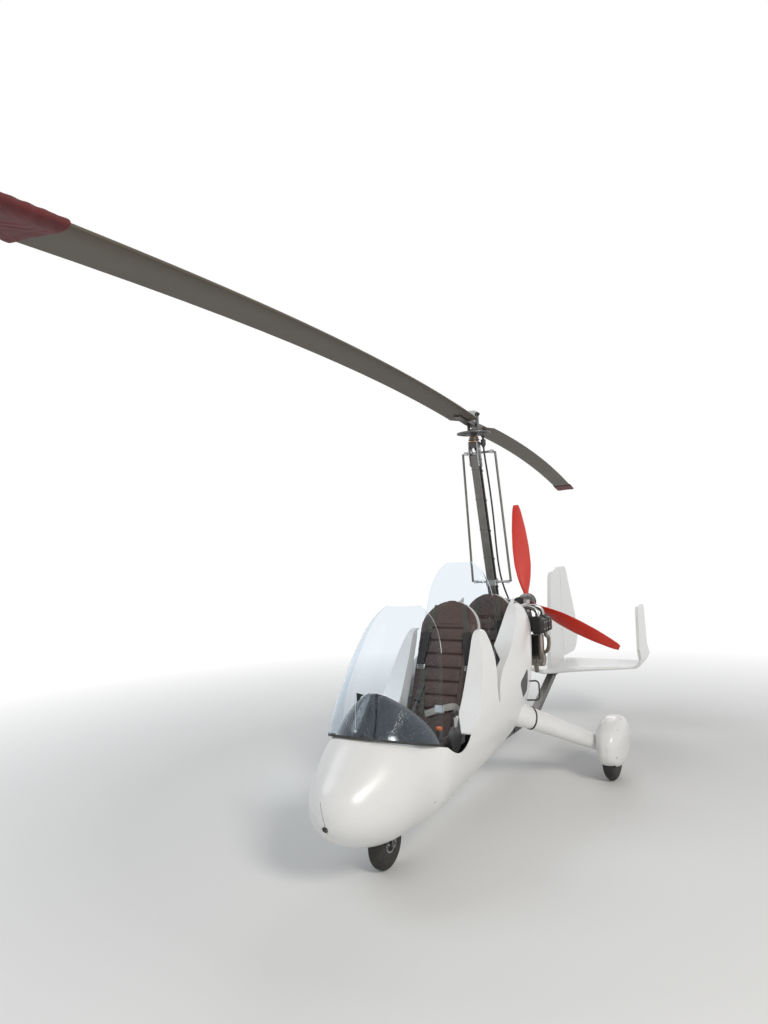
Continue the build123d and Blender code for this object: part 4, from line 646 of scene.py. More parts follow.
def placed(tree, given, out, points, rotation):
    item = tree.nodes.new("GeometryNodeObjectInfo")
    tree.links.new(given["Item"], item.inputs["Object"])
    spread = tree.nodes.new("GeometryNodeInstanceOnPoints")
    tree.links.new(points, spread.inputs["Points"])
    tree.links.new(item.outputs["Geometry"], spread.inputs["Instance"])
    if rotation is not None:
        tree.links.new(rotation, spread.inputs["Rotation"])
    real = tree.nodes.new("GeometryNodeRealizeInstances")
    tree.links.new(spread.outputs[0], real.inputs[0])
    dressed = tree.nodes.new("GeometryNodeSetMaterial")
    tree.links.new(real.outputs[0], dressed.inputs["Geometry"])
    tree.links.new(given["Material"], dressed.inputs["Material"])
    tree.links.new(dressed.outputs[0], out[0])


# %% Trees for repeats
RING, given, out = new_tree("ring_of_items", [("Item", "Object"), ("Count", "Int"), ("Radius", "Float"),
                                              ("Material", "Material")])
circle = RING.nodes.new("GeometryNodeMeshCircle")
RING.links.new(given["Count"], circle.inputs["Vertices"])
RING.links.new(given["Radius"], circle.inputs["Radius"])
place = RING.nodes.new("GeometryNodeInputPosition")
outward = RING.nodes.new("FunctionNodeAlignRotationToVector")
outward.axis = "X"
RING.links.new(place.outputs[0], outward.inputs["Vector"])
placed(RING, given, out, circle.outputs[0], outward.outputs[0])

ROW, given, out = new_tree("row_of_items", [("Item", "Object"), ("Count", "Int"), ("Start", "Vector"),
                                            ("Step", "Vector"), ("Material", "Material")])
line = ROW.nodes.new("GeometryNodeMeshLine")
ROW.links.new(given["Count"], line.inputs["Count"])
ROW.links.new(given["Start"], line.inputs["Start Location"])
ROW.links.new(given["Step"], line.inputs["Offset"])
placed(ROW, given, out, line.outputs[0], None)

CLOUD, given, out = new_tree("items_on_points", [("Item", "Object"), ("Material", "Material")])
facing = CLOUD.nodes.new("GeometryNodeInputNamedAttribute")
facing.data_type = "FLOAT_VECTOR"
facing.inputs["Name"].default_value = "facing"
along = CLOUD.nodes.new("GeometryNodeInputNamedAttribute")
along.data_type = "FLOAT_VECTOR"
along.inputs["Name"].default_value = "along"
stand = CLOUD.nodes.new("FunctionNodeAlignRotationToVector")
stand.axis = "Z"
CLOUD.links.new(facing.outputs[0], stand.inputs["Vector"])
lie = CLOUD.nodes.new("FunctionNodeAlignRotationToVector")
lie.axis = "X"
lie.pivot_axis = "Z"
CLOUD.links.new(stand.outputs[0], lie.inputs["Rotation"])
CLOUD.links.new(along.outputs[0], lie.inputs["Vector"])
placed(CLOUD, given, out, given["Geometry"], lie.outputs[0])


print("trees:", [tree.name for tree in (RING, ROW, CLOUD)])

# %% [markdown]
# ## Growing a piece from a tree
# `grown` gives a tree to a carrier object, sets the tree's named sockets and takes the mesh that comes out.
# `ring` stands the result on an axis, and `scattered` writes each spot's directions as attributes first.

# %% Growing
def grown(tree, form, material, start=None, **values):
    thing = object_of("item", form)
    carrier = object_of("carrier", start or bpy.data.meshes.new("carrier"))
    modifier = carrier.modifiers.new("repeat", "NODES")
    modifier.node_group = tree
    names = {s.name: s.identifier for s in tree.interface.items_tree if s.in_out == "INPUT"}
    modifier[names["Item"]] = thing
    modifier[names["Material"]] = FINISH[material]
    for key, value in values.items():
        modifier[names[key]] = value
    made = applied(carrier)
    bpy.data.objects.remove(carrier)
    bpy.data.objects.remove(thing)
    return made


def ring(form, count, radius, place, axis, material, turn=0.0):
    made = grown(RING, form, material, Count=count, Radius=radius)
    made.transform(frame_on(place, axis, turn))
    return made


def scattered(form, spots, material):
    start = bpy.data.meshes.new("spots")
    start.from_pydata([tuple(s[0]) for s in spots], [], [])
    for label, column in (("facing", 1), ("along", 2)):
        layer = start.attributes.new(label, "FLOAT_VECTOR", "POINT")
        for index, spot in enumerate(spots):
            layer.data[index].vector = spot[column]
    return grown(CLOUD, form, material, start)


# %% [markdown]
# ## Bolts and screws
# Two small forms serve all the fasteners: a hexagon head on its washer and a domed screw with one slot. Both
# stand on the origin and face up.

# %% Bolts and screws
UP = (0, 0, 1)


def hex_bolt(across, height):
    form = bmesh.new()
    bmesh.ops.create_cone(form, cap_ends=True, segments=6, radius1=across / 2, radius2=across / 2, depth=height)
    bmesh.ops.translate(form, vec=(0, 0, height / 2), verts=form.verts)
    bmesh.ops.bevel(form, geom=form.edges, offset=across * 0.06, segments=1, affect="EDGES")
    washer, thick = across * 0.68, height * 0.2
    return together([mesh_of(form), lathe([(0, 0), (washer, 0), (washer, thick), (0, thick)], (0, 0, 0), UP, 14)])


def dome_screw(radius):
    slot = block((radius * 0.9, radius * 0.22, radius * 0.10), (0, 0, radius * 0.50), round_by=0)
    head = lathe([(radius, 0), (radius * 0.95, radius * 0.25), (radius * 0.6, radius * 0.5), (0, radius * 0.52)],
                 (0, 0, 0), UP, 12)
    return together([head, slot])


# %% [markdown]
# ## Sewn seats
# Each seat is a foam pad in dark leather, sewn across in channels, with side bolsters and a plain headrest. The
# pad starts as the CAD solid's own shape, so that it keeps its place. A voxel remesh gives it an even skin, a
# short cloth simulation under pressure swells it, and the channels are pressed in afterwards, because a remesh
# would erase them. Where a channel runs, the skin goes in along its normal, and it crowns up in between.

# %% Seat sizes
SEATS = {
    "front": {"foot": (-0.960, 0.552), "top": (-0.530, 1.420), "half": 0.135, "headrest": 0.79,
              "seams": [0.76, 0.67, 0.577, 0.482, 0.389, 0.297, 0.205]},
    "rear": {"foot": (-0.110, 0.620), "top": (0.170, 1.415), "half": 0.125, "headrest": 0.66,
             "seams": [0.64, 0.55, 0.46, 0.37, 0.28, 0.19]},
}
for seat in SEATS.values():
    rise = Vector((0, seat["top"][0] - seat["foot"][0], seat["top"][1] - seat["foot"][1]))
    seat["length"] = rise.length
    seat["along"] = rise.normalized()
    seat["out"] = Vector((0, -rise.z, rise.y)).normalized()
    seat["base"] = Vector((0, *seat["foot"]))


print({name: round(seat["length"], 3) for name, seat in SEATS.items()})

# %% Even skin and swelling
def even_skin(node, voxel, passes):
    form = bmesh.new()
    form.from_mesh(NODES[node].data)
    bmesh.ops.remove_doubles(form, verts=form.verts, dist=1e-5)
    data = bpy.data.meshes.new(node)
    form.to_mesh(data)
    form.free()
    thing = object_of("even", data)
    even = thing.modifiers.new("even", "REMESH")
    even.mode = "VOXEL"
    even.voxel_size = voxel
    soft = thing.modifiers.new("soft", "SMOOTH")
    soft.iterations = passes
    data = applied(thing)
    bpy.data.objects.remove(thing)
    return data


def swell(thing, limit, pressure=4.0, frames=20):
    start = [v.co.copy() for v in thing.data.vertices]
    puff = thing.modifiers.new("puff", "CLOTH")
    puff.settings.use_pressure = True
    puff.settings.uniform_pressure_force = pressure
    puff.settings.quality = 4
    puff.settings.effector_weights.gravity = 0.0
    for moment in range(1, frames + 1):
        scene.frame_set(moment)
    swollen = applied(thing)
    for vertex, first in zip(swollen.vertices, start):
        move = vertex.co - first
        if move.length > limit:
            vertex.co = first + move.normalized() * limit
    thing.modifiers.clear()
    thing.data = swollen
    scene.frame_set(1)


# %% Channels
CHANNEL_DEPTH, CHANNEL_WIDTH, CHANNEL_CROWN = 0.0085, 0.0055, 0.0045
BOLSTER_DEPTH, BOLSTER_WIDTH = 0.0075, 0.006
BOLSTER_CROWN, BOLSTER_IN, BOLSTER_SPREAD = 0.006, 0.035, 0.022
HEADREST_CROWN, HEADREST_SPREAD = 0.004, 0.09
WRINKLE = 0.0008
PAN_DEPTH, PAN_WIDTH, PAN_CROWN = 0.007, 0.006, 0.004
PAN_MARKS = [0.03, 0.11, 0.19, 0.27]
EDGE_RUN = 0.012


def groove(distance, width):
    return math.exp(-(distance / width) ** 2)


def crown(value, marks):
    marks = sorted(marks)
    for low, high in zip(marks, marks[1:]):
        if low <= value <= high:
            return math.sin(math.pi * (value - low) / (high - low)) ** 0.6
    return 0.0


def press_channels(data, seat):
    moves = []
    for vertex in data.vertices:
        away = vertex.co - seat["base"]
        up_back = away.dot(seat["along"])
        x = vertex.co.x
        facing = vertex.normal
        inner = max(0.0, min(1.0, (seat["half"] + EDGE_RUN - abs(x)) / EDGE_RUN))
        depth = 0.0
        if facing.dot(seat["out"]) > 0.55 and up_back > 0.10:
            channels = max(groove(up_back - seam, CHANNEL_WIDTH) for seam in seat["seams"])
            depth += CHANNEL_DEPTH * channels * inner
            depth -= CHANNEL_CROWN * crown(up_back, seat["seams"]) * inner
            if up_back < seat["headrest"]:
                depth += BOLSTER_DEPTH * groove(abs(x) - seat["half"], BOLSTER_WIDTH)
                depth -= BOLSTER_CROWN * groove(abs(x) - seat["half"] - BOLSTER_IN, BOLSTER_SPREAD)
            depth -= HEADREST_CROWN * groove(x, HEADREST_SPREAD) * (up_back > seat["headrest"])
            depth += WRINKLE * math.sin(x * 90 + up_back * 31) * math.sin(up_back * 140 + x * 23)
        elif facing.z > 0.8:
            forward_run = seat["base"].y - vertex.co.y
            depth += PAN_DEPTH * max(groove(forward_run - mark, PAN_WIDTH) for mark in PAN_MARKS) * inner
            depth -= PAN_CROWN * crown(forward_run, PAN_MARKS) * inner
        moves.append(facing * -depth)
    for vertex, move in zip(data.vertices, moves):
        vertex.co += move


# %% Seat pads
PAD_VOXEL, PAD_PASSES, PAD_INSET, SWELL_LIMIT = 0.008, 6, 0.002, 0.006

PADS = {}
for name, seat in SEATS.items():
    pad = object_of("pad", even_skin(name + "_seat_cushion", PAD_VOXEL, PAD_PASSES))
    for vertex, normal in zip(pad.data.vertices, [v.normal.copy() for v in pad.data.vertices]):
        vertex.co -= normal * PAD_INSET
    swell(pad, SWELL_LIMIT)
    finer = pad.modifiers.new("finer", "SUBSURF")
    finer.levels = finer.render_levels = 1
    data = applied(pad)
    bpy.data.objects.remove(pad)
    press_channels(data, seat)
    pad = keep(name + "_seat_pad", data, "seat_leather", "airframe",
               stands_for=[name + "_seat_cushion"])
    data.set_sharp_from_angle(angle=math.radians(180))
    PADS[name] = skin(data)
    print(pad.name, len(data.polygons), "faces")


def on_pad(name, x, up_back, lift):
    seat = SEATS[name]
    start = seat["base"] + seat["along"] * up_back + seat["out"] * 0.25
    start.x = x
    place, normal, face, far = PADS[name].ray_cast(start, -seat["out"], 0.5)
    if place is None:
        place, normal = seat["base"] + seat["along"] * up_back + Vector((x, 0, 0)), seat["out"]
    return place + seat["out"] * lift, normal


# %% [markdown]
# ## Stitches and piping
# The channels are held by visible stitches, 6 mm long, and the headrest carries one stitched chevron. A stitch is
# a small rounded grain, set on points along each seam, and the direction of the seam turns it.

# %% Stitches
def seam_points(name, path, gap):
    spots = []
    for (x0, s0), (x1, s1) in zip(path, path[1:]):
        count = max(2, int(math.hypot(x1 - x0, s1 - s0) / gap))
        for k in range(count):
            share = (k + 0.5) / count
            place, normal = on_pad(name, x0 + (x1 - x0) * share, s0 + (s1 - s0) * share, 0.0003)
            run = Vector((x1 - x0, 0, 0)) + SEATS[name]["along"] * (s1 - s0)
            spots.append((place, normal, run.normalized()))
    return spots


def stitch(length=0.006, radius=0.0007):
    return lathe([(0, -length / 2), (radius, -length * 0.35), (radius, length * 0.35), (0, length / 2)],
                 (0, 0, 0), (1, 0, 0), 6)


# %% Sewing
STITCH_STEP = 0.0085
BESIDE_SEAM = 0.0065
BOLSTER_OUT, BOLSTER_FOOT = 0.009, 0.14
CHEVRON_TIP, CHEVRON_DROP = 0.115, 0.075

for name, seat in SEATS.items():
    half, headrest = seat["half"], seat["headrest"]
    seams = [[(-half, s + side), (half, s + side)] for s in seat["seams"] for side in (-BESIDE_SEAM, BESIDE_SEAM)]
    seams += [[(side * (half + BOLSTER_OUT), BOLSTER_FOOT), (side * (half + BOLSTER_OUT), headrest)]
              for side in (-1, 1)]
    tip = headrest + CHEVRON_TIP
    seams.append([(-half * 0.75, tip - CHEVRON_DROP), (0, tip), (half * 0.75, tip - CHEVRON_DROP)])
    spots = [spot for seam in seams for spot in seam_points(name, seam, STITCH_STEP)]
    keep(name + "_seat_stitches", scattered(stitch(), spots, "stitch_thread"), "stitch_thread", "airframe")
    print(name, "seat:", len(spots), "stitches")

# %% [markdown]
# ## Belts
# Each seat has two shoulder belts with dark pads, an adjuster below each pad and a lap belt. Webbing is a flat
# strip 44 mm wide, so it is laid as a ribbon along points on the pad, lifted by half its thickness, and given a
# UV map in metres that the weave follows.

# %% Laying a ribbon
RIBBON_STEP = 0.012
RIBBON_PROFILE = [(-0.5, 0), (-0.46, 1), (0, 1.25), (0.46, 1), (0.5, 0), (0.46, -1), (0, -1), (-0.46, -1)]


def rounded_route(path, passes=6):
    fine = []
    for (x0, s0), (x1, s1) in zip(path, path[1:]):
        count = max(2, int(math.hypot(x1 - x0, s1 - s0) / RIBBON_STEP))
        fine += [(x0 + (x1 - x0) * k / count, s0 + (s1 - s0) * k / count) for k in range(count)]
    route = fine + [path[-1]]
    for _ in range(passes):
        route = [route[0]] + [tuple((a[i] + 2 * b[i] + c[i]) / 4 for i in range(2))
                              for a, b, c in zip(route, route[1:], route[2:])] + [route[-1]]
    return route


def taut_heights(name, route, passes=8):
    seat = SEATS[name]
    high = [(on_pad(name, x, s, 0)[0] - seat["base"]).dot(seat["out"]) for x, s in route]
    for _ in range(passes):
        high = [high[0]] + [max(b, (a + c) / 2) for a, b, c in zip(high, high[1:], high[2:])] + [high[-1]]
    return high


def ribbon_rows(name, path, lift):
    seat = SEATS[name]
    route = rounded_route(path)
    rows, length = [], 0.0
    for k, ((x, s), high) in enumerate(zip(route, taut_heights(name, route))):
        before, after = route[max(0, k - 1)], route[min(len(route) - 1, k + 1)]
        run = (Vector((after[0] - before[0], 0, 0)) + seat["along"] * (after[1] - before[1])).normalized()
        across = run.cross(seat["out"]).normalized()
        centre = seat["base"] + seat["along"] * s + seat["out"] * (high + lift) + Vector((x, 0, 0))
        if rows:
            length += (centre - rows[-1][0]).length
        rows.append((centre, across, length))
    return rows


# %% Webbing
def ribbon(name, path, width, thick, lift, finish, label):
    rows = ribbon_rows(name, path, lift)
    out = SEATS[name]["out"]
    form = bmesh.new()
    uv = form.loops.layers.uv.new("UVMap")
    rings = [[form.verts.new(centre + across * (a * width) + out * (b * thick / 2)) for a, b in RIBBON_PROFILE]
             for centre, across, run in rows]
    runs = [run for centre, across, run in rows]
    sides = len(RIBBON_PROFILE)
    for low, high, run_low, run_high in zip(rings, rings[1:], runs, runs[1:]):
        for k in range(sides):
            after = (k + 1) % sides
            face = form.faces.new([low[k], low[after], high[after], high[k]])
            for loop, (at, run) in zip(face.loops, ((k, run_low), (after, run_low), (after, run_high), (k, run_high))):
                a, b = RIBBON_PROFILE[at]
                loop[uv].uv = (a * width + 0.001 * b, run)
    form.faces.new(rings[0])
    form.faces.new(list(reversed(rings[-1])))
    bmesh.ops.recalc_face_normals(form, faces=form.faces)
    data = bpy.data.meshes.new(label)
    form.to_mesh(data)
    form.free()
    keep(label, data, finish, "airframe")
    return runs[-1]


def between(path, low, high):
    inside = []
    for (x0, s0), (x1, s1) in zip(path, path[1:]):
        for limit in (high, low):
            if min(s0, s1) <= limit <= max(s0, s1) and s0 != s1:
                inside.append((x0 + (x1 - x0) * (limit - s0) / (s1 - s0), limit))
        if low < s1 < high:
            inside.append((x1, s1))
    return sorted(set(inside), key=lambda p: -p[1])


# %% [markdown]
# The routes are points on the seat: how far to port of its middle, and how far up the seat back from its foot.
# `pads` says between which heights the dark shoulder pads lie.

# %% Belts
BELTS = {
    "front": {
        "port": [(0.100, 0.925), (0.106, 0.885), (0.146, 0.743), (0.199, 0.484), (0.215, 0.300), (0.205, 0.18)],
        "starboard": [(-0.100, 0.925), (-0.108, 0.885), (-0.142, 0.722), (-0.157, 0.509), (-0.120, 0.380),
                      (-0.093, 0.16)],
        "lap": [(0.195, 0.15), (0.154, 0.235), (0.039, 0.205), (-0.060, 0.165)], "pads": (0.725, 0.50)},
    "rear": {
        "port": [(0.075, 0.80), (0.085, 0.73), (0.110, 0.60), (0.140, 0.42), (0.165, 0.25), (0.165, 0.16)],
        "starboard": [(-0.075, 0.80), (-0.085, 0.73), (-0.110, 0.60), (-0.125, 0.42), (-0.105, 0.28), (-0.08, 0.16)],
        "lap": [(0.175, 0.14), (0.120, 0.205), (0.0, 0.185), (-0.070, 0.155)], "pads": (0.62, 0.43)},
}
BELT_WIDTH, BELT_THICK, BELT_LIFT, LAP_LIFT = 0.044, 0.0022, 0.0022, 0.0115
PAD_WIDTH, PAD_THICK, PAD_LIFT = 0.058, 0.011, 0.008
ADJUSTER_HALF, ADJUSTER_BAR, ADJUSTER_REACH = 0.026, 0.013, 0.015


def adjuster(place, along):
    across = Vector((ADJUSTER_HALF, 0, 0))
    bars = [tube([place - across + along * bar, place + across + along * bar], 0.0021, False)
            for bar in (-ADJUSTER_BAR, 0.0, ADJUSTER_BAR)]
    cheeks = [tube([place + across * side - along * ADJUSTER_REACH, place + across * side + along * ADJUSTER_REACH],
                   0.0024, False) for side in (-1, 1)]
    return bars + cheeks


hardware = []
for name, belts in BELTS.items():
    high, low = belts["pads"]
    for side in ("port", "starboard"):
        path = belts[side]
        length = ribbon(name, path, BELT_WIDTH, BELT_THICK, BELT_LIFT, "grey_webbing", f"{name}_{side}_shoulder_belt")
        ribbon(name, between(path, low, high), PAD_WIDTH, PAD_THICK, PAD_LIFT, "black_webbing",
               f"{name}_{side}_belt_pad")
        x, s = between(path, low - 0.022, low - 0.018)[0]
        place, normal = on_pad(name, x, s, 0.007)
        hardware += adjuster(place, SEATS[name]["along"])
        print(name, side, "shoulder belt", round(length, 2), "m")
    ribbon(name, belts["lap"], BELT_WIDTH, BELT_THICK, LAP_LIFT, "pale_webbing", f"{name}_lap_belt")
    x, s = belts["lap"][2]
    place, normal = on_pad(name, x, s, 0.016)
    hardware.append(block((0.070, 0.050, 0.014), place, SEATS[name]["out"], round_by=0.004))
keep("belt_hardware", together(hardware), "bright_aluminium", "airframe")

# %% [markdown]
# ## Rotor head
# The teetering head is open to view: a big toothed ring under the hub, a steel hub bar with straps bolted over
# the blade roots, and one thick pin on which the blades see-saw. The ring's teeth stand clear of the
# pre-rotator's pinion, which slides up into them only to start the rotor. Blades and bolts belong to the
# see-sawing body, and the ring to the turning one.

# %% Ring gear teeth and teeter nuts
BLADE_TURN = math.radians(6.87)
SPAN = Vector((math.sin(BLADE_TURN), -math.cos(BLADE_TURN), 0))
LEAD = Vector((math.cos(BLADE_TURN), math.sin(BLADE_TURN), 0))
RING_RADIUS, RING_TEETH = 0.125, 96
TEETER_PIN = Vector((0, 0, 2.790))
PIN_WASHER_OUT, PIN_NUT_OUT = 0.0402, 0.0422

tooth = block((0.0042, 0.0040, 0.0096), (0.0012, 0, 0), round_by=0.0008, segments=1)
low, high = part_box("ring_gear")
keep("ring_gear_teeth", ring(tooth, RING_TEETH, RING_RADIUS, (0, 0, (low[2] + high[2]) / 2), UP, "steel"), "steel",
     "rotor_drive")
ends = []
for side in (-1, 1):
    ends.append(lathe([(0, 0), (0.0155, 0), (0.0155, 0.002), (0, 0.002)], LEAD * side * PIN_WASHER_OUT + TEETER_PIN,
                      LEAD * side, 24))
    nut = hex_bolt(0.022, 0.011)
    nut.transform(frame_on(LEAD * side * PIN_NUT_OUT + TEETER_PIN, LEAD * side))
    ends.append(nut)
keep("teeter_nuts", together(ends), "dark_composite", "rotor_drive")

# %% Bolts through the straps and the head plates
STRAP_REACHES = (0.150, 0.200, 0.255, 0.310, 0.360, 0.405)
STRAP_SIDE = 0.011
PLATE_ROWS, PLATE_SIDE = (0.022, 0.052), 0.016

rays = [(SPAN * end * reach + LEAD * side * STRAP_SIDE + Vector((0, 0, 3.0)), (0, 0, -1))
        for end in (-1, 1) for reach in STRAP_REACHES for side in (-1, 1)]
spots = landed("hub_bar", rays, SPAN)
keep("blade_strap_bolts", scattered(hex_bolt(0.010, 0.006), spots, "bright_aluminium"), "bright_aluminium", "rotor")
print(len(spots), "bolts through the blade straps")

spots = []
for node in ("head_block", "mast_head"):
    low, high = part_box(node)
    rays = [((side * 0.4, (low[1] + high[1]) / 2 + shift, low[2] + row), (-side, 0, 0))
            for row in PLATE_ROWS for shift in (-PLATE_SIDE, PLATE_SIDE) for side in (-1, 1)]
    spots += landed(node, rays, UP, 0.8)
keep("head_plate_bolts", scattered(hex_bolt(0.013, 0.007), spots, "steel"), "steel", "airframe")
print(len(spots), "bolts on the head plates")

# %% Bearing collars
collars = [lathe([(radius, -0.0035), (radius + 0.004, -0.002), (radius + 0.004, 0.002), (radius, 0.0035),
                  (radius - 0.004, 0.0)], (0, 0, z), UP, 40)
           for z, radius in ((2.612, 0.034), (2.596, 0.031), (2.580, 0.034))]
keep("bearing_collars", together(collars), "copper_ring", "airframe")
print(len(collars), "bearing collars")

# %% [markdown]
# ## Blades and tip socks
# At rest each blade tip wears a sewn sock of dark red cloth, drawn tight by a strap, so that the blades can be
# tied down. The cloth is a sleeve over the blade's own section: it starts from the CAD solid's outer skin, and
# shallow folds are pressed into it across the span, fading out where the strap draws the cloth in.

# %% Tip socks
SOCK_VOXEL, SOCK_PASSES, SOCK_FILL = 0.0034, 5, 0.1
FOLD_DEPTH, STRAP_DEPTH, STRAP_AT, STRAP_SPREAD = 0.0010, 0.0010, 4.085, 0.012

data = even_skin("tip_socks", SOCK_VOXEL, SOCK_PASSES)
shifts = []
for vertex in data.vertices:
    along = abs(vertex.co.dot(SPAN))
    side = vertex.co.dot(LEAD)
    fold = math.sin(along * 130 + 5 * math.sin(side * 40)) * math.sin(side * 28 + along * 17)
    tight = math.exp(-((along - STRAP_AT) / STRAP_SPREAD) ** 2)
    shifts.append(vertex.normal * (FOLD_DEPTH * fold * (1 - tight) - STRAP_DEPTH * tight))
for vertex, shift in zip(data.vertices, shifts):
    vertex.co += shift
layer = data.uv_layers.new(name="UVMap")
for loop in data.loops:
    place = data.vertices[loop.vertex_index].co
    layer.data[loop.index].uv = (place.dot(SPAN), place.dot(LEAD))
socks = keep("tip_sock_cloth", data, "sock_red", "rotor", stands_for=["tip_socks"])
data.set_sharp_from_angle(angle=math.radians(180))
print("sock faces", len(data.polygons))

# %% [markdown]
# ## Mast
# Two black leads run up the port side of the mast to the head, held by ties at even steps. They are fixed all
# the way, so they follow the mast's lean exactly.

# %% Leads and ties on the mast
MAST_TOP_Y, MAST_TOP_Z, MAST_LEAN, MAST_HALF = 0.008, 2.480, 0.2364, 0.032
TIE_GAP, TIE_HEIGHTS = 0.0012, (2.36, 2.135, 1.90, 1.68, 1.46, 1.26)


def mast_spot(z, x=0.0, behind=0.0):
    return Vector((x, MAST_TOP_Y + MAST_LEAN * (MAST_TOP_Z - z) + behind, z))


leads = []
for behind, radius in ((-0.012, 0.0045), (0.006, 0.0035)):
    path = [mast_spot(2.46, 0.030, behind) + Vector((0.006, 0, 0.02))]
    path += [mast_spot(2.42 - 0.1 * k, MAST_HALF + radius + 0.0006, behind) for k in range(13)]
    path.append(mast_spot(1.16, MAST_HALF + radius, behind))
    leads.append(tube(path, radius))
keep("mast_leads", together(leads), "black_rubber", "airframe")

near = MAST_HALF + TIE_GAP
corners = [(-near, -near), (MAST_HALF + 0.004, -near), (MAST_HALF + 0.0105, -0.016), (MAST_HALF + 0.0105, 0.010),
           (MAST_HALF + 0.003, near), (-near, near)]
ties = []
for z in TIE_HEIGHTS:
    loop = [mast_spot(z, x, y) - Vector((0, 0, y * MAST_LEAN)) for x, y in corners]
    ties.append(tube(loop + [loop[0]], 0.0022, False, sides=1))
    ties.append(block((0.007, 0.006, 0.006), mast_spot(z, MAST_HALF + 0.013, -0.003), round_by=0.001))
keep("mast_ties", together(ties), "dark_composite", "airframe")
print(len(leads), "leads,", len(TIE_HEIGHTS), "ties")

# %% [markdown]
# ## Wheels
# The tyres are small balloon tyres: a round tread with a few ribs all the way round, and plain side walls with a
# bead ring. A profile turned about the axle gives the whole tyre. The rims are two halves held by a ring of
# small bolts.

# %% Tyres
WHEELS = {
    "nose": {"place": (0, -1.580, 0.150), "radius": 0.150, "width": 0.088, "rim": 0.054, "body": "nose_wheel"},
    "port": {"place": (0.812, 0.445, 0.178), "radius": 0.178, "width": 0.098, "rim": 0.076, "body": "port_wheel"},
    "starboard": {"place": (-0.812, 0.445, 0.178), "radius": 0.178, "width": 0.098, "rim": 0.076,
                  "body": "starboard_wheel"},
}


TREAD_SHARE, TREAD_GROOVE = 0.70, 0.0022


def tyre_profile(radius, width, rim, steps=46):
    profile = []
    half = width / 2
    deep = radius - rim
    for k in range(steps + 1):
        angle = math.pi * (k / steps) * 1.12 - math.pi * 0.06
        out = math.sin(angle)
        across = -math.cos(angle)
        place = half * math.copysign(abs(across) ** 0.86, across)
        height = rim + deep * (0.08 + 0.92 * max(0.0, out) ** 0.62)
        on_tread = abs(place) < half * TREAD_SHARE and out > 0.4
        in_groove = math.sin(place / half * 15.5) ** 2 < 0.16
        profile.append((height - TREAD_GROOVE * (on_tread and in_groove), place))
    return profile


for name, wheel in WHEELS.items():
    profile = tyre_profile(wheel["radius"], wheel["width"], wheel["rim"])
    bead = wheel["rim"] + 0.001
    inner = [(bead, profile[-1][1] * 0.9), (bead, profile[0][1] * 0.9)]
    data = lathe(profile + inner + [profile[0]], wheel["place"], (1, 0, 0), 96)
    keep(name + "_tyre_ribbed", data, "tyre_black", wheel["body"], stands_for=[name + "_tyre"])
    print(name, "tyre", len(data.polygons), "faces")

# %% Rim bolts
RIM_BOLTS, BOLT_CIRCLE_SHARE, BOLT_START_TURN = 6, 0.62, 0.3

for name, wheel in WHEELS.items():
    circle = wheel["rim"] * BOLT_CIRCLE_SHARE
    turns = [2 * math.pi * k / RIM_BOLTS + BOLT_START_TURN for k in range(RIM_BOLTS)]
    parts = []
    for side in (-1, 1):
        rays = [(Vector(wheel["place"]) + Vector((side * 0.3, math.cos(turn) * circle, math.sin(turn) * circle)),
                 (-side, 0, 0)) for turn in turns]
        spots = landed(name + "_rim", rays, (0, 1, 0), 0.7)
        if spots:
            parts.append(scattered(hex_bolt(0.009, 0.005), spots, "steel"))
    keep(name + "_rim_bolts", together(parts), "steel", wheel["body"])

# %% [markdown]
# ## Propeller
# Three composite blades are clamped between hub plates by a ring of six bolts, seen from the front and rear. A
# blade is a lens section that grows, thins and flattens its pitch towards the tip. Sections between the measured
# stations are mixed in a straight line and then eased, so that the outline can't overshoot at the tip.

# %% Blade sections
PROPELLER = Vector((0.0, 1.050, 1.267))
STATIONS = [(0.036, 0.045, 0.045, 60), (0.060, 0.043, 0.042, 58), (0.080, 0.043, 0.041, 55), (0.135, 0.085, 0.034, 46),
            (0.210, 0.120, 0.025, 38), (0.330, 0.148, 0.019, 31), (0.480, 0.146, 0.014, 25), (0.640, 0.122, 0.011, 20),
            (0.780, 0.085, 0.008, 17), (0.850, 0.060, 0.006, 15), (0.862, 0.044, 0.004, 15)]
BLADE_ROWS, SECTION_POINTS = 60, 26


def station_at(reach):
    for low, high in zip(STATIONS, STATIONS[1:]):
        if reach <= high[0]:
            share = (reach - low[0]) / (high[0] - low[0])
            return [a + (b - a) * share for a, b in zip(low, high)]
    return list(STATIONS[-1])


root, tip = STATIONS[0][0], STATIONS[-1][0]
rows = [station_at(root + (tip - root) * k / (BLADE_ROWS - 1)) for k in range(BLADE_ROWS)]
for _ in range(3):
    rows = [rows[0]] + [[b[0]] + [(a[i] + 2 * b[i] + c[i]) / 4 for i in (1, 2, 3)]
                        for a, b, c in zip(rows, rows[1:], rows[2:])] + [rows[-1]]
print(len(rows), "sections from", root, "to", tip, "m")

# %% Propeller blades
BLADES, FIRST_BLADE = 3, -4.05

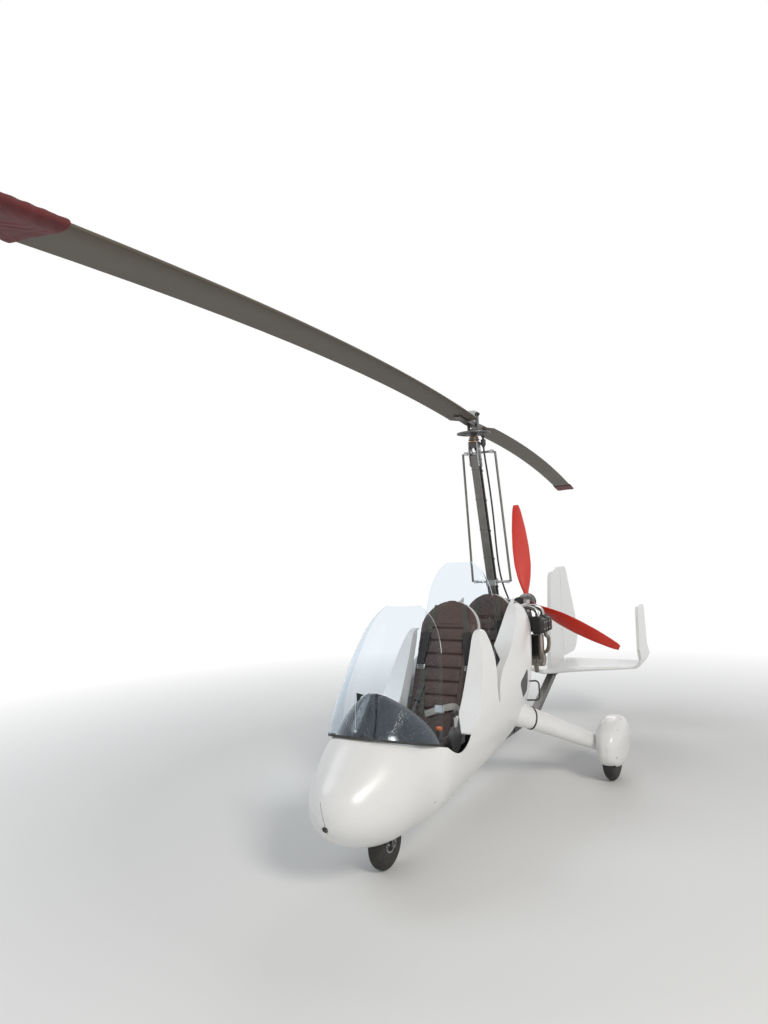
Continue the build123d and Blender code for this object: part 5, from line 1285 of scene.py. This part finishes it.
form = bmesh.new()
for blade in range(BLADES):
    turn = math.radians(FIRST_BLADE + 120 * blade)
    rings = []
    for reach, chord, thick, pitch in rows:
        lean = math.radians(pitch)
        section = []
        for k in range(SECTION_POINTS):
            angle = 2 * math.pi * k / SECTION_POINTS
            wide = math.cos(angle) * chord / 2
            deep = math.sin(angle) * thick / 2
            x = wide * math.cos(lean) - deep * math.sin(lean)
            y = wide * math.sin(lean) + deep * math.cos(lean)
            section.append(form.verts.new(PROPELLER + Vector((x * math.cos(turn) + reach * math.sin(turn), y,
                                                              reach * math.cos(turn) - x * math.sin(turn)))))
        rings.append(section)
    for low, high in zip(rings, rings[1:]):
        for k in range(SECTION_POINTS):
            after = (k + 1) % SECTION_POINTS
            form.faces.new([low[k], low[after], high[after], high[k]])
    form.faces.new(rings[0])
    form.faces.new(rings[-1])
bmesh.ops.recalc_face_normals(form, faces=form.faces)
data = bpy.data.meshes.new("blades")
form.to_mesh(data)
form.free()
keep("propeller_blades", data, "prop_red", "propeller", stands_for=["prop_blades"])

# %% Propeller bolts
HUB_BOLTS, HUB_BOLT_CIRCLE = 6, 0.052

turns = [2 * math.pi * k / HUB_BOLTS + 0.2 for k in range(HUB_BOLTS)]
rays = [(PROPELLER + Vector((HUB_BOLT_CIRCLE * math.cos(turn), side * 0.3, HUB_BOLT_CIRCLE * math.sin(turn))),
         (0, -side, 0)) for side in (-1, 1) for turn in turns]
spots = landed("prop_hub", rays, (1, 0, 0), 0.8)
keep("propeller_bolts", scattered(hex_bolt(0.013, 0.008), spots, "steel"), "steel", "propeller")
print(len(spots), "propeller bolts")

# %% [markdown]
# ## Engine details
# The engine is an open flat four with two carburettors and a radiator behind the mast. What the CAD leaves out
# is small: screws on the rocker covers, fins on the radiator's faces and clamps on the silencer.

# %% Screws, fins and clamps
CYLINDER_ROWS = (0.625, 0.755)
SCREW_SHIFT, SCREW_HEIGHTS = 0.033, (1.088, 1.142)
RADIATOR_Y, RADIATOR_MIDDLE = 0.744, 0.936
FINS, FIN_STEP, FIN_START, FIN_OUT = 62, 0.0065, -0.1983, 0.0032
SILENCER_Y, SILENCER_Z, CLAMPS_AT = 0.868, 0.800, (-0.150, 0.0, 0.150)

rays = [((side * 0.6, y + shift, z), (-side, 0, 0)) for side in (-1, 1) for y in CYLINDER_ROWS
        for shift in (-SCREW_SHIFT, SCREW_SHIFT) for z in SCREW_HEIGHTS]
spots = landed("cylinders", rays, (0, 1, 0), 0.3)
keep("rocker_cover_screws", scattered(dome_screw(0.0065), spots, "bright_aluminium"), "bright_aluminium", "airframe")
print(len(spots), "rocker cover screws")

fins = []
for side in (-1, 1):
    face, normal = onto("radiator", (0.0, RADIATOR_Y + side * 0.4, RADIATOR_MIDDLE), (0, -side, 0))
    fins.append(grown(ROW, block((0.0012, 0.006, 0.140), (0, 0, 0), round_by=0), "engine_black", Count=FINS,
                      Start=(FIN_START, face.y + side * FIN_OUT, RADIATOR_MIDDLE), Step=(FIN_STEP, 0, 0)))
keep("radiator_fins", together(fins), "engine_black", "airframe", smooth=False)

clamps = []
for x in CLAMPS_AT:
    clamps.append(lathe([(0.0584, -0.009), (0.0602, -0.008), (0.0602, 0.008), (0.0584, 0.009)],
                        (x, SILENCER_Y, SILENCER_Z), (1, 0, 0), 48))
    clamps.append(block((0.018, 0.010, 0.020), (x, SILENCER_Y + 0.064, SILENCER_Z), round_by=0.002))
keep("silencer_clamps", together(clamps), "bright_aluminium", "airframe")

# %% [markdown]
# ## Ignition and cooling
# Two orange boxes sit on the crankcase. A black lead runs from them to each spark plug cap, and a hose joins each
# bank of cylinders to the radiator. Leads and hoses are fixed at both ends.

# %% Ignition boxes
BOX_Y, BOXES_X = 0.62, (-0.055, 0.055)

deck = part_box("engine_block")[1][2]
boxes = []
for x in BOXES_X:
    top, normal = onto("engine_block", (x, BOX_Y, deck + 0.3), (0, 0, -1))
    boxes.append(block((0.062, 0.085, 0.034), (x, BOX_Y, top.z + 0.0172), round_by=0.005))
keep("ignition_boxes", together(boxes), "cap_orange", "airframe")

# %% Plug caps and leads
PLUG_X, PLUG_SHIFT = 0.225, 0.020

caps, leads = [], []
for side, row, shift in itertools.product((-1, 1), CYLINDER_ROWS, (-PLUG_SHIFT, PLUG_SHIFT)):
    place, normal = onto("cylinders", (side * PLUG_X, row + shift, 1.5), (0, 0, -1))
    caps.append(lathe([(0, 0.0), (0.009, 0.0), (0.009, 0.026), (0.0065, 0.032), (0, 0.032)], place, UP, 16))
    start = place + Vector((0, 0, 0.030))
    end = Vector((side * 0.060, 0.60 + (row - CYLINDER_ROWS[0]) * 0.25 + shift * 0.6, deck + 0.034))
    leads.append(tube([start, start + Vector((0, 0, 0.035)), start + Vector((-side * 0.05, -0.01, 0.058)),
                       (start + end) / 2 + Vector((0, shift, 0.052)), end + Vector((side * 0.012, 0, 0.028)), end],
                      0.0036))
keep("plug_caps", together(caps), "black_rubber", "airframe")
keep("ignition_leads", together(leads), "black_rubber", "airframe")
print(len(leads), "ignition leads")

# %% Coolant hoses
HOSE_RADIUS, HOSE_FOOT_X, HOSE_TOP = 0.011, 0.190, (0.215, 0.755, 1.02)

low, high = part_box("radiator")
hoses = []
for side in (-1, 1):
    start = Vector((side * HOSE_FOOT_X, RADIATOR_Y, high[2] - 0.004))
    end = Vector((side * HOSE_TOP[0], HOSE_TOP[1], HOSE_TOP[2]))
    hoses.append(tube([start, start + Vector((0, 0, 0.020)), end - Vector((0, 0, 0.022)), end + Vector((0, 0, 0.004))],
                      HOSE_RADIUS))
keep("coolant_hoses", together(hoses), "black_rubber", "airframe")

# %% [markdown]
# ## Windshield screws
# The front windshield is screwed to the body with a row of dome screws just above its rubber gasket. At each
# station a ray climbs from below until it finds the sheet, and the screw goes a little higher.

# %% Windshield screws
def screws_along(node, rays, form, name, finish="bright_aluminium"):
    spots = [(place, normal, UP if abs(normal.z) < 0.9 else (0, 1, 0)) for place, normal, _ in landed(node, rays, UP)]
    keep(name, scattered(form, spots, finish), finish, "airframe")
    print(name, len(spots))


SCREW_STATIONS = (-1.48, -1.55, -1.62, -1.69, -1.76, -1.82)
SEARCH_FROM, SEARCH_TO, SEARCH_STEP, ABOVE_GASKET = 0.68, 0.95, 0.004, 0.012

rays = []
for side in (-1, 1):
    for y in SCREW_STATIONS:
        z = SEARCH_FROM
        while z < SEARCH_TO and onto("front_windshield", (side * 0.8, y, z), (-side, 0, 0))[0] is None:
            z += SEARCH_STEP
        rays.append(((side * 0.8, y, z + ABOVE_GASKET), (-side, 0, 0)))
screws_along("front_windshield", rays, dome_screw(0.0045), "windshield_screws", "dark_composite")

# %% [markdown]
# ## Nose
# The body is moulded in two halves. A fine dark parting line runs up the tip of the nose, beside a small round
# air inlet with a rubber lip. Both are dropped on the skin with rays from the front.

# %% Parting line and inlet
LINE_RADIUS, LINE_POINTS = 0.0009, 20
INLET_X, INLET_Z = -0.008, 0.412

rays = [((-0.045 * (k / (LINE_POINTS - 1)) ** 1.5, -2.6, 0.385 + 0.008 * k), (0, 1, 0)) for k in range(LINE_POINTS)]
path = [place + normal * LINE_RADIUS * 0.15 for place, normal, _ in landed("pod_shell", rays, UP)]
keep("nose_parting_line", tube(path, LINE_RADIUS, sides=1, steps=3), "dark_composite", "airframe")

place, normal = onto("pod_shell", (INLET_X, -2.6, INLET_Z), (0, 1, 0))
lip = lathe([(0.010, -0.002), (0.0155, 0.0), (0.0165, 0.0022), (0.0135, 0.0030), (0.0112, 0.0015), (0.010, -0.002)],
            place, normal, 28)
keep("nose_inlet_lip", lip, "black_rubber", "airframe")
# A flat dark disc fills the inlet's mouth on the closed skin: painted shade standing in for the dark inside of the
# opening.
dark = lathe([(0, 0.0006), (0.0112, 0.0008), (0.0112, -0.001), (0, -0.001)], place, normal, 24)
keep("nose_inlet_mesh", dark, "dark_composite", "airframe")
print(len(path), "points on the parting line")

# %% [markdown]
# ## Screws on body, spats and tail
# Screws hold the lower body panels, the wheel spats, the fin and the tailplane's end-plates. The same places are
# used on both sides, and each ray comes from well outside.

# %% Body and spat screws
BODY_SCREWS = ((-1.25, 0.34), (-0.95, 0.33), (-0.65, 0.33), (-0.35, 0.36), (-1.55, 0.40), (0.20, 0.45))
SPAT_SCREWS = ((0.30, 0.40), (0.58, 0.40), (0.24, 0.22), (0.64, 0.22), (0.445, 0.45))


def from_both_sides(reach, places):
    return [((side * reach, y, z), (-side, 0, 0)) for side in (-1, 1) for y, z in places]


screws_along("pod_shell", from_both_sides(0.9, BODY_SCREWS), dome_screw(0.0055), "body_screws")
screws_along("spats", from_both_sides(1.3, SPAT_SCREWS), dome_screw(0.006), "spat_screws")

# %% Tail screws
FIN_SCREWS = [(y, z) for z in (0.77, 0.91, 1.05) for y in (1.98, 2.00)]
END_PLATE_SCREWS = [(y, 0.590) for y in (1.92, 1.99, 2.06)]
TAILPLANE_SCREWS = (1.70, 1.85, 2.00)

screws_along("fin", from_both_sides(0.3, FIN_SCREWS), dome_screw(0.005), "fin_screws")
rays = [((side * 0.055, y, 1.0), (0, 0, -1)) for side in (-1, 1) for y in TAILPLANE_SCREWS]
screws_along("tailplane", rays, dome_screw(0.006), "tailplane_screws")
screws_along("end_plates", from_both_sides(1.2, END_PLATE_SCREWS), dome_screw(0.006), "end_plate_screws")

# %% [markdown]
# ## Instrument panel
# The panel in the open rear of the cowl carries seven round instruments and a row of switches. Each dial is a
# turned bezel, a dark face with a ring of ticks, a needle and a glass, set square on the panel by a ray.

# %% Dials
DIALS = [(-0.105, 0.845, 0.040, 0.7), (0.0, 0.850, 0.040, 2.4), (0.105, 0.845, 0.040, 4.2), (-0.130, 0.755, 0.029, 1.6),
         (-0.055, 0.755, 0.029, 3.1), (0.030, 0.755, 0.029, 5.2), (0.115, 0.755, 0.029, 0.4)]
BEHIND_PANEL = -1.20
TICKS = 24

bezels, faces, marks, glasses, needles = [], [], [], [], []
for x, z, radius, reading in DIALS:
    place, normal = onto("instrument_cowl", (x, BEHIND_PANEL, z), (0, -1, 0))
    bezels.append(lathe([(radius, 0), (radius, 0.006), (radius * 0.94, 0.009), (radius * 0.86, 0.008),
                         (radius * 0.84, 0.004), (radius * 0.84, 0.0)], place, normal, 40))
    faces.append(lathe([(0, 0.003), (radius * 0.85, 0.003), (radius * 0.85, 0.0), (0, 0.0)], place, normal, 40))
    tick = block((radius * 0.14, radius * 0.030, 0.0004), (0, 0, 0), round_by=0)
    marks.append(ring(tick, TICKS, radius * 0.72, place + normal * 0.0034, normal, "mark_white"))
    needle = block((radius * 0.66, radius * 0.05, 0.0008), (radius * 0.27, 0, 0), round_by=0)
    needle.transform(frame_on(place + normal * 0.0046, normal, reading))
    needles.append(needle)
    needles.append(lathe([(0, 0.0035), (radius * 0.11, 0.0035), (radius * 0.10, 0.0060), (0, 0.0062)],
                         place, normal, 16))
    glasses.append(lathe([(0, 0.0078), (radius * 0.86, 0.0072), (radius * 0.86, 0.0066), (0, 0.0070)],
                         place, normal, 40))
keep("dial_bezels", together(bezels), "dark_composite", "airframe")
keep("dial_faces", together(faces), "dial_black", "airframe")
keep("dial_marks", together(marks), "mark_white", "airframe", smooth=False)
keep("dial_needles", together(needles), "mark_white", "airframe")
keep("dial_glasses", together(glasses), "clear_glazing", "airframe")
print(len(bezels), "dials")

# %% Switches
SWITCHES, SWITCH_STEP, SWITCH_Z = 7, 0.04, 0.714

rays = [((-0.12 + SWITCH_STEP * k, BEHIND_PANEL, SWITCH_Z), (0, -1, 0)) for k in range(SWITCHES)]
switches = []
for place, normal, _ in landed("instrument_cowl", rays, UP):
    switches.append(lathe([(0, 0.0), (0.0065, 0.0), (0.0065, 0.003), (0.0038, 0.004), (0.0038, 0.006), (0, 0.006)],
                          place, normal, 16))
    switches.append(tube([place + normal * 0.004, place + normal * 0.012 + Vector((0, 0, 0.003)),
                          place + normal * 0.018 + Vector((0, 0, 0.006))], 0.0019))
keep("panel_switches", together(switches), "bright_aluminium", "airframe")
print(len(switches) // 2, "switches")

# %% [markdown]
# ## Stick grips
# The sticks carry moulded rubber grips with finger ridges and an orange thumb button. The grip's profile is
# turned about the upper part of the stick, from its knee to its top.

# %% Stick grips
STICKS = (((0, -1.345, 0.620), (0, -1.120, 0.840)), ((0, -0.495, 0.600), (0, -0.330, 0.860)))
RIDGES, RIDGE_STEP = 5, 0.018

profile = [(0, -0.004), (0.0105, -0.004), (0.0190, -0.002), (0.0200, 0.006)]
for k in range(RIDGES):
    profile += [(0.0186, 0.014 + RIDGE_STEP * k), (0.0206, 0.023 + RIDGE_STEP * k)]
profile += [(0.0196, 0.106), (0.0215, 0.112), (0.0200, 0.119), (0.0120, 0.1215), (0, 0.122)]
grips, buttons = [], []
for knee, top in STICKS:
    axis = (Vector(top) - Vector(knee)).normalized()
    grips.append(lathe(profile, top, axis, 28))
    buttons.append(lathe([(0, 0), (0.006, 0), (0.006, 0.004), (0.0045, 0.006), (0, 0.0062)],
                         Vector(top) + axis * 0.120, axis, 18))
keep("stick_grips", together(grips), "black_rubber", "airframe")
keep("stick_buttons", together(buttons), "cap_orange", "airframe")

# %% [markdown]
# ## Fluid bottle and throttle quadrant
# The brake's fluid bottle has an orange screw cap with a milled edge, and the two levers at the quadrant have
# metal sleeves and black knobs.

# %% Cap, sleeves and knobs
BOTTLE_TOP = Vector((0.242, -1.316, 0.731))
LEVER_Y, LEVER_Z, LEVER_LENGTH = -1.196, 0.648, 0.070
LEVERS = ((0.275, 24), (0.289, -6))

rib = block((0.0012, 0.0012, 0.011), (0.0002, 0, 0), round_by=0)
cap = [lathe([(0, 0), (0.0185, 0), (0.0190, 0.003), (0.0185, 0.014), (0.0160, 0.017), (0, 0.0172)], BOTTLE_TOP, UP, 36),
       ring(rib, 30, 0.0188, BOTTLE_TOP + Vector((0, 0, 0.0085)), UP, "cap_orange")]
keep("fluid_cap", together(cap), "cap_orange", "airframe")

sleeves, lever_knobs = [], []
for x, lean in LEVERS:
    direction = Vector((0, math.sin(math.radians(lean)), math.cos(math.radians(lean))))
    root = Vector((x, LEVER_Y, LEVER_Z)) + direction * LEVER_LENGTH
    sleeves.append(block((0.0062, 0.0175, 0.060), root + direction * 0.032, direction, round_by=0.001))
    sleeves.append(lathe([(0, 0), (0.0100, 0), (0.0105, 0.004), (0.0100, 0.008), (0, 0.008)],
                         root + direction * 0.060, direction, 24))
    lever_knobs.append(lathe([(0.0095, 0.066), (0.0118, 0.070), (0.0124, 0.084), (0.0112, 0.097), (0.006, 0.1015),
                              (0, 0.102)], root, direction, 28))
keep("throttle_sleeves", together(sleeves), "bright_aluminium", "airframe")
keep("throttle_knobs", together(lever_knobs), "black_rubber", "airframe")

# %% [markdown]
# ## Rear cockpit knobs
# Small black knobs on bent stems stand on the port side of the rear cockpit. A ray from the middle of the
# cockpit finds the tub, or the body beyond it where the tub ends lower down.

# %% Cockpit knobs
KNOBS = ((-0.347, 1.014, 0.3), (-0.344, 0.889, -0.2), (-0.490, 0.807, 0.2), (-0.243, 0.893, 0.1))
RAY_X, TUB_REACH = 0.06, 0.33

knobs, stems = [], []
for y, z, lean in KNOBS:
    place, normal = onto("cockpit_tub", (RAY_X, y, z), (1, 0, 0))
    if place is None or place.x > TUB_REACH:
        place, normal = onto("pod_shell", (RAY_X, y, z), (1, 0, 0))
    if place is None:
        continue
    direction = (normal + Vector((0, lean, 0.9))).normalized()
    stems.append(lathe([(0, 0), (0.010, 0), (0.010, 0.003), (0, 0.003)], place, normal, 18))
    stems.append(tube([place, place + direction * 0.022, place + direction * 0.042], 0.0028))
    knobs.append(lathe([(0, -0.008), (0.006, -0.0055), (0.008, 0.0), (0.006, 0.0055), (0, 0.008)],
                       place + direction * 0.046, direction, 20))
keep("cockpit_knobs", together(knobs), "black_rubber", "airframe")
keep("cockpit_knob_stems", together(stems), "bright_aluminium", "airframe")
print(len(knobs), "cockpit knobs")

# %% [markdown]
# ## Yaw rod and pennant
# A thin rod stands at the foot of the windshield, with a small three-cornered pennant at its top. The pennant
# shows the pilot where the air comes from. It is one thin sheet that waves a little.

# %% Yaw rod
rod_foot, rod_top = Vector((0, -1.859, 0.826)), Vector((0, -1.824, 1.032))
place, normal = onto("front_windshield", (0, -2.4, rod_foot.z), (0, 1, 0))
if place is None:
    normal = Vector((0, -1, 0))
else:
    rod_foot = place
keep("yaw_rod", together([tube([rod_foot - Vector((0, 0, 0.004)), rod_foot.lerp(rod_top, 0.5), rod_top], 0.0016),
                          lathe([(0, -0.002), (0.009, -0.001), (0.008, 0.003), (0.003, 0.007), (0, 0.007)], rod_foot,
                                normal, 20)]),
     "bright_aluminium", "airframe")

# %% Pennant
PENNANT_HIGH, PENNANT_LONG, PENNANT_THICK, PENNANT_DROP = 0.050, 0.075, 0.0008, 0.030
WAVE_SWING, WAVE_TURNS = 0.006, 7.0
COLUMNS, ROWS = 14, 8

form = bmesh.new()
uv = form.loops.layers.uv.new("UVMap")
grid = []
for i in range(COLUMNS + 1):
    share = i / COLUMNS
    column = []
    for j in range(ROWS + 1):
        high = (j / ROWS - 0.5) * PENNANT_HIGH * (1 - share)
        wave = WAVE_SWING * math.sin(share * WAVE_TURNS) * share
        column.append(form.verts.new((wave + 0.0018, rod_top.y + 0.002 + PENNANT_LONG * share,
                                      rod_top.z - PENNANT_DROP + high)))
    grid.append(column)
for i in range(COLUMNS):
    for j in range(ROWS):
        face = form.faces.new([grid[i][j], grid[i + 1][j], grid[i + 1][j + 1], grid[i][j + 1]])
        for loop, (a, b) in zip(face.loops, ((i, j), (i + 1, j), (i + 1, j + 1), (i, j + 1))):
            loop[uv].uv = (a / COLUMNS * PENNANT_LONG, b / ROWS * PENNANT_HIGH)
bmesh.ops.solidify(form, geom=form.faces, thickness=PENNANT_THICK)
data = bpy.data.meshes.new("pennant")
form.to_mesh(data)
form.free()
pennant = keep("yaw_pennant", data, "pennant_green", "airframe")
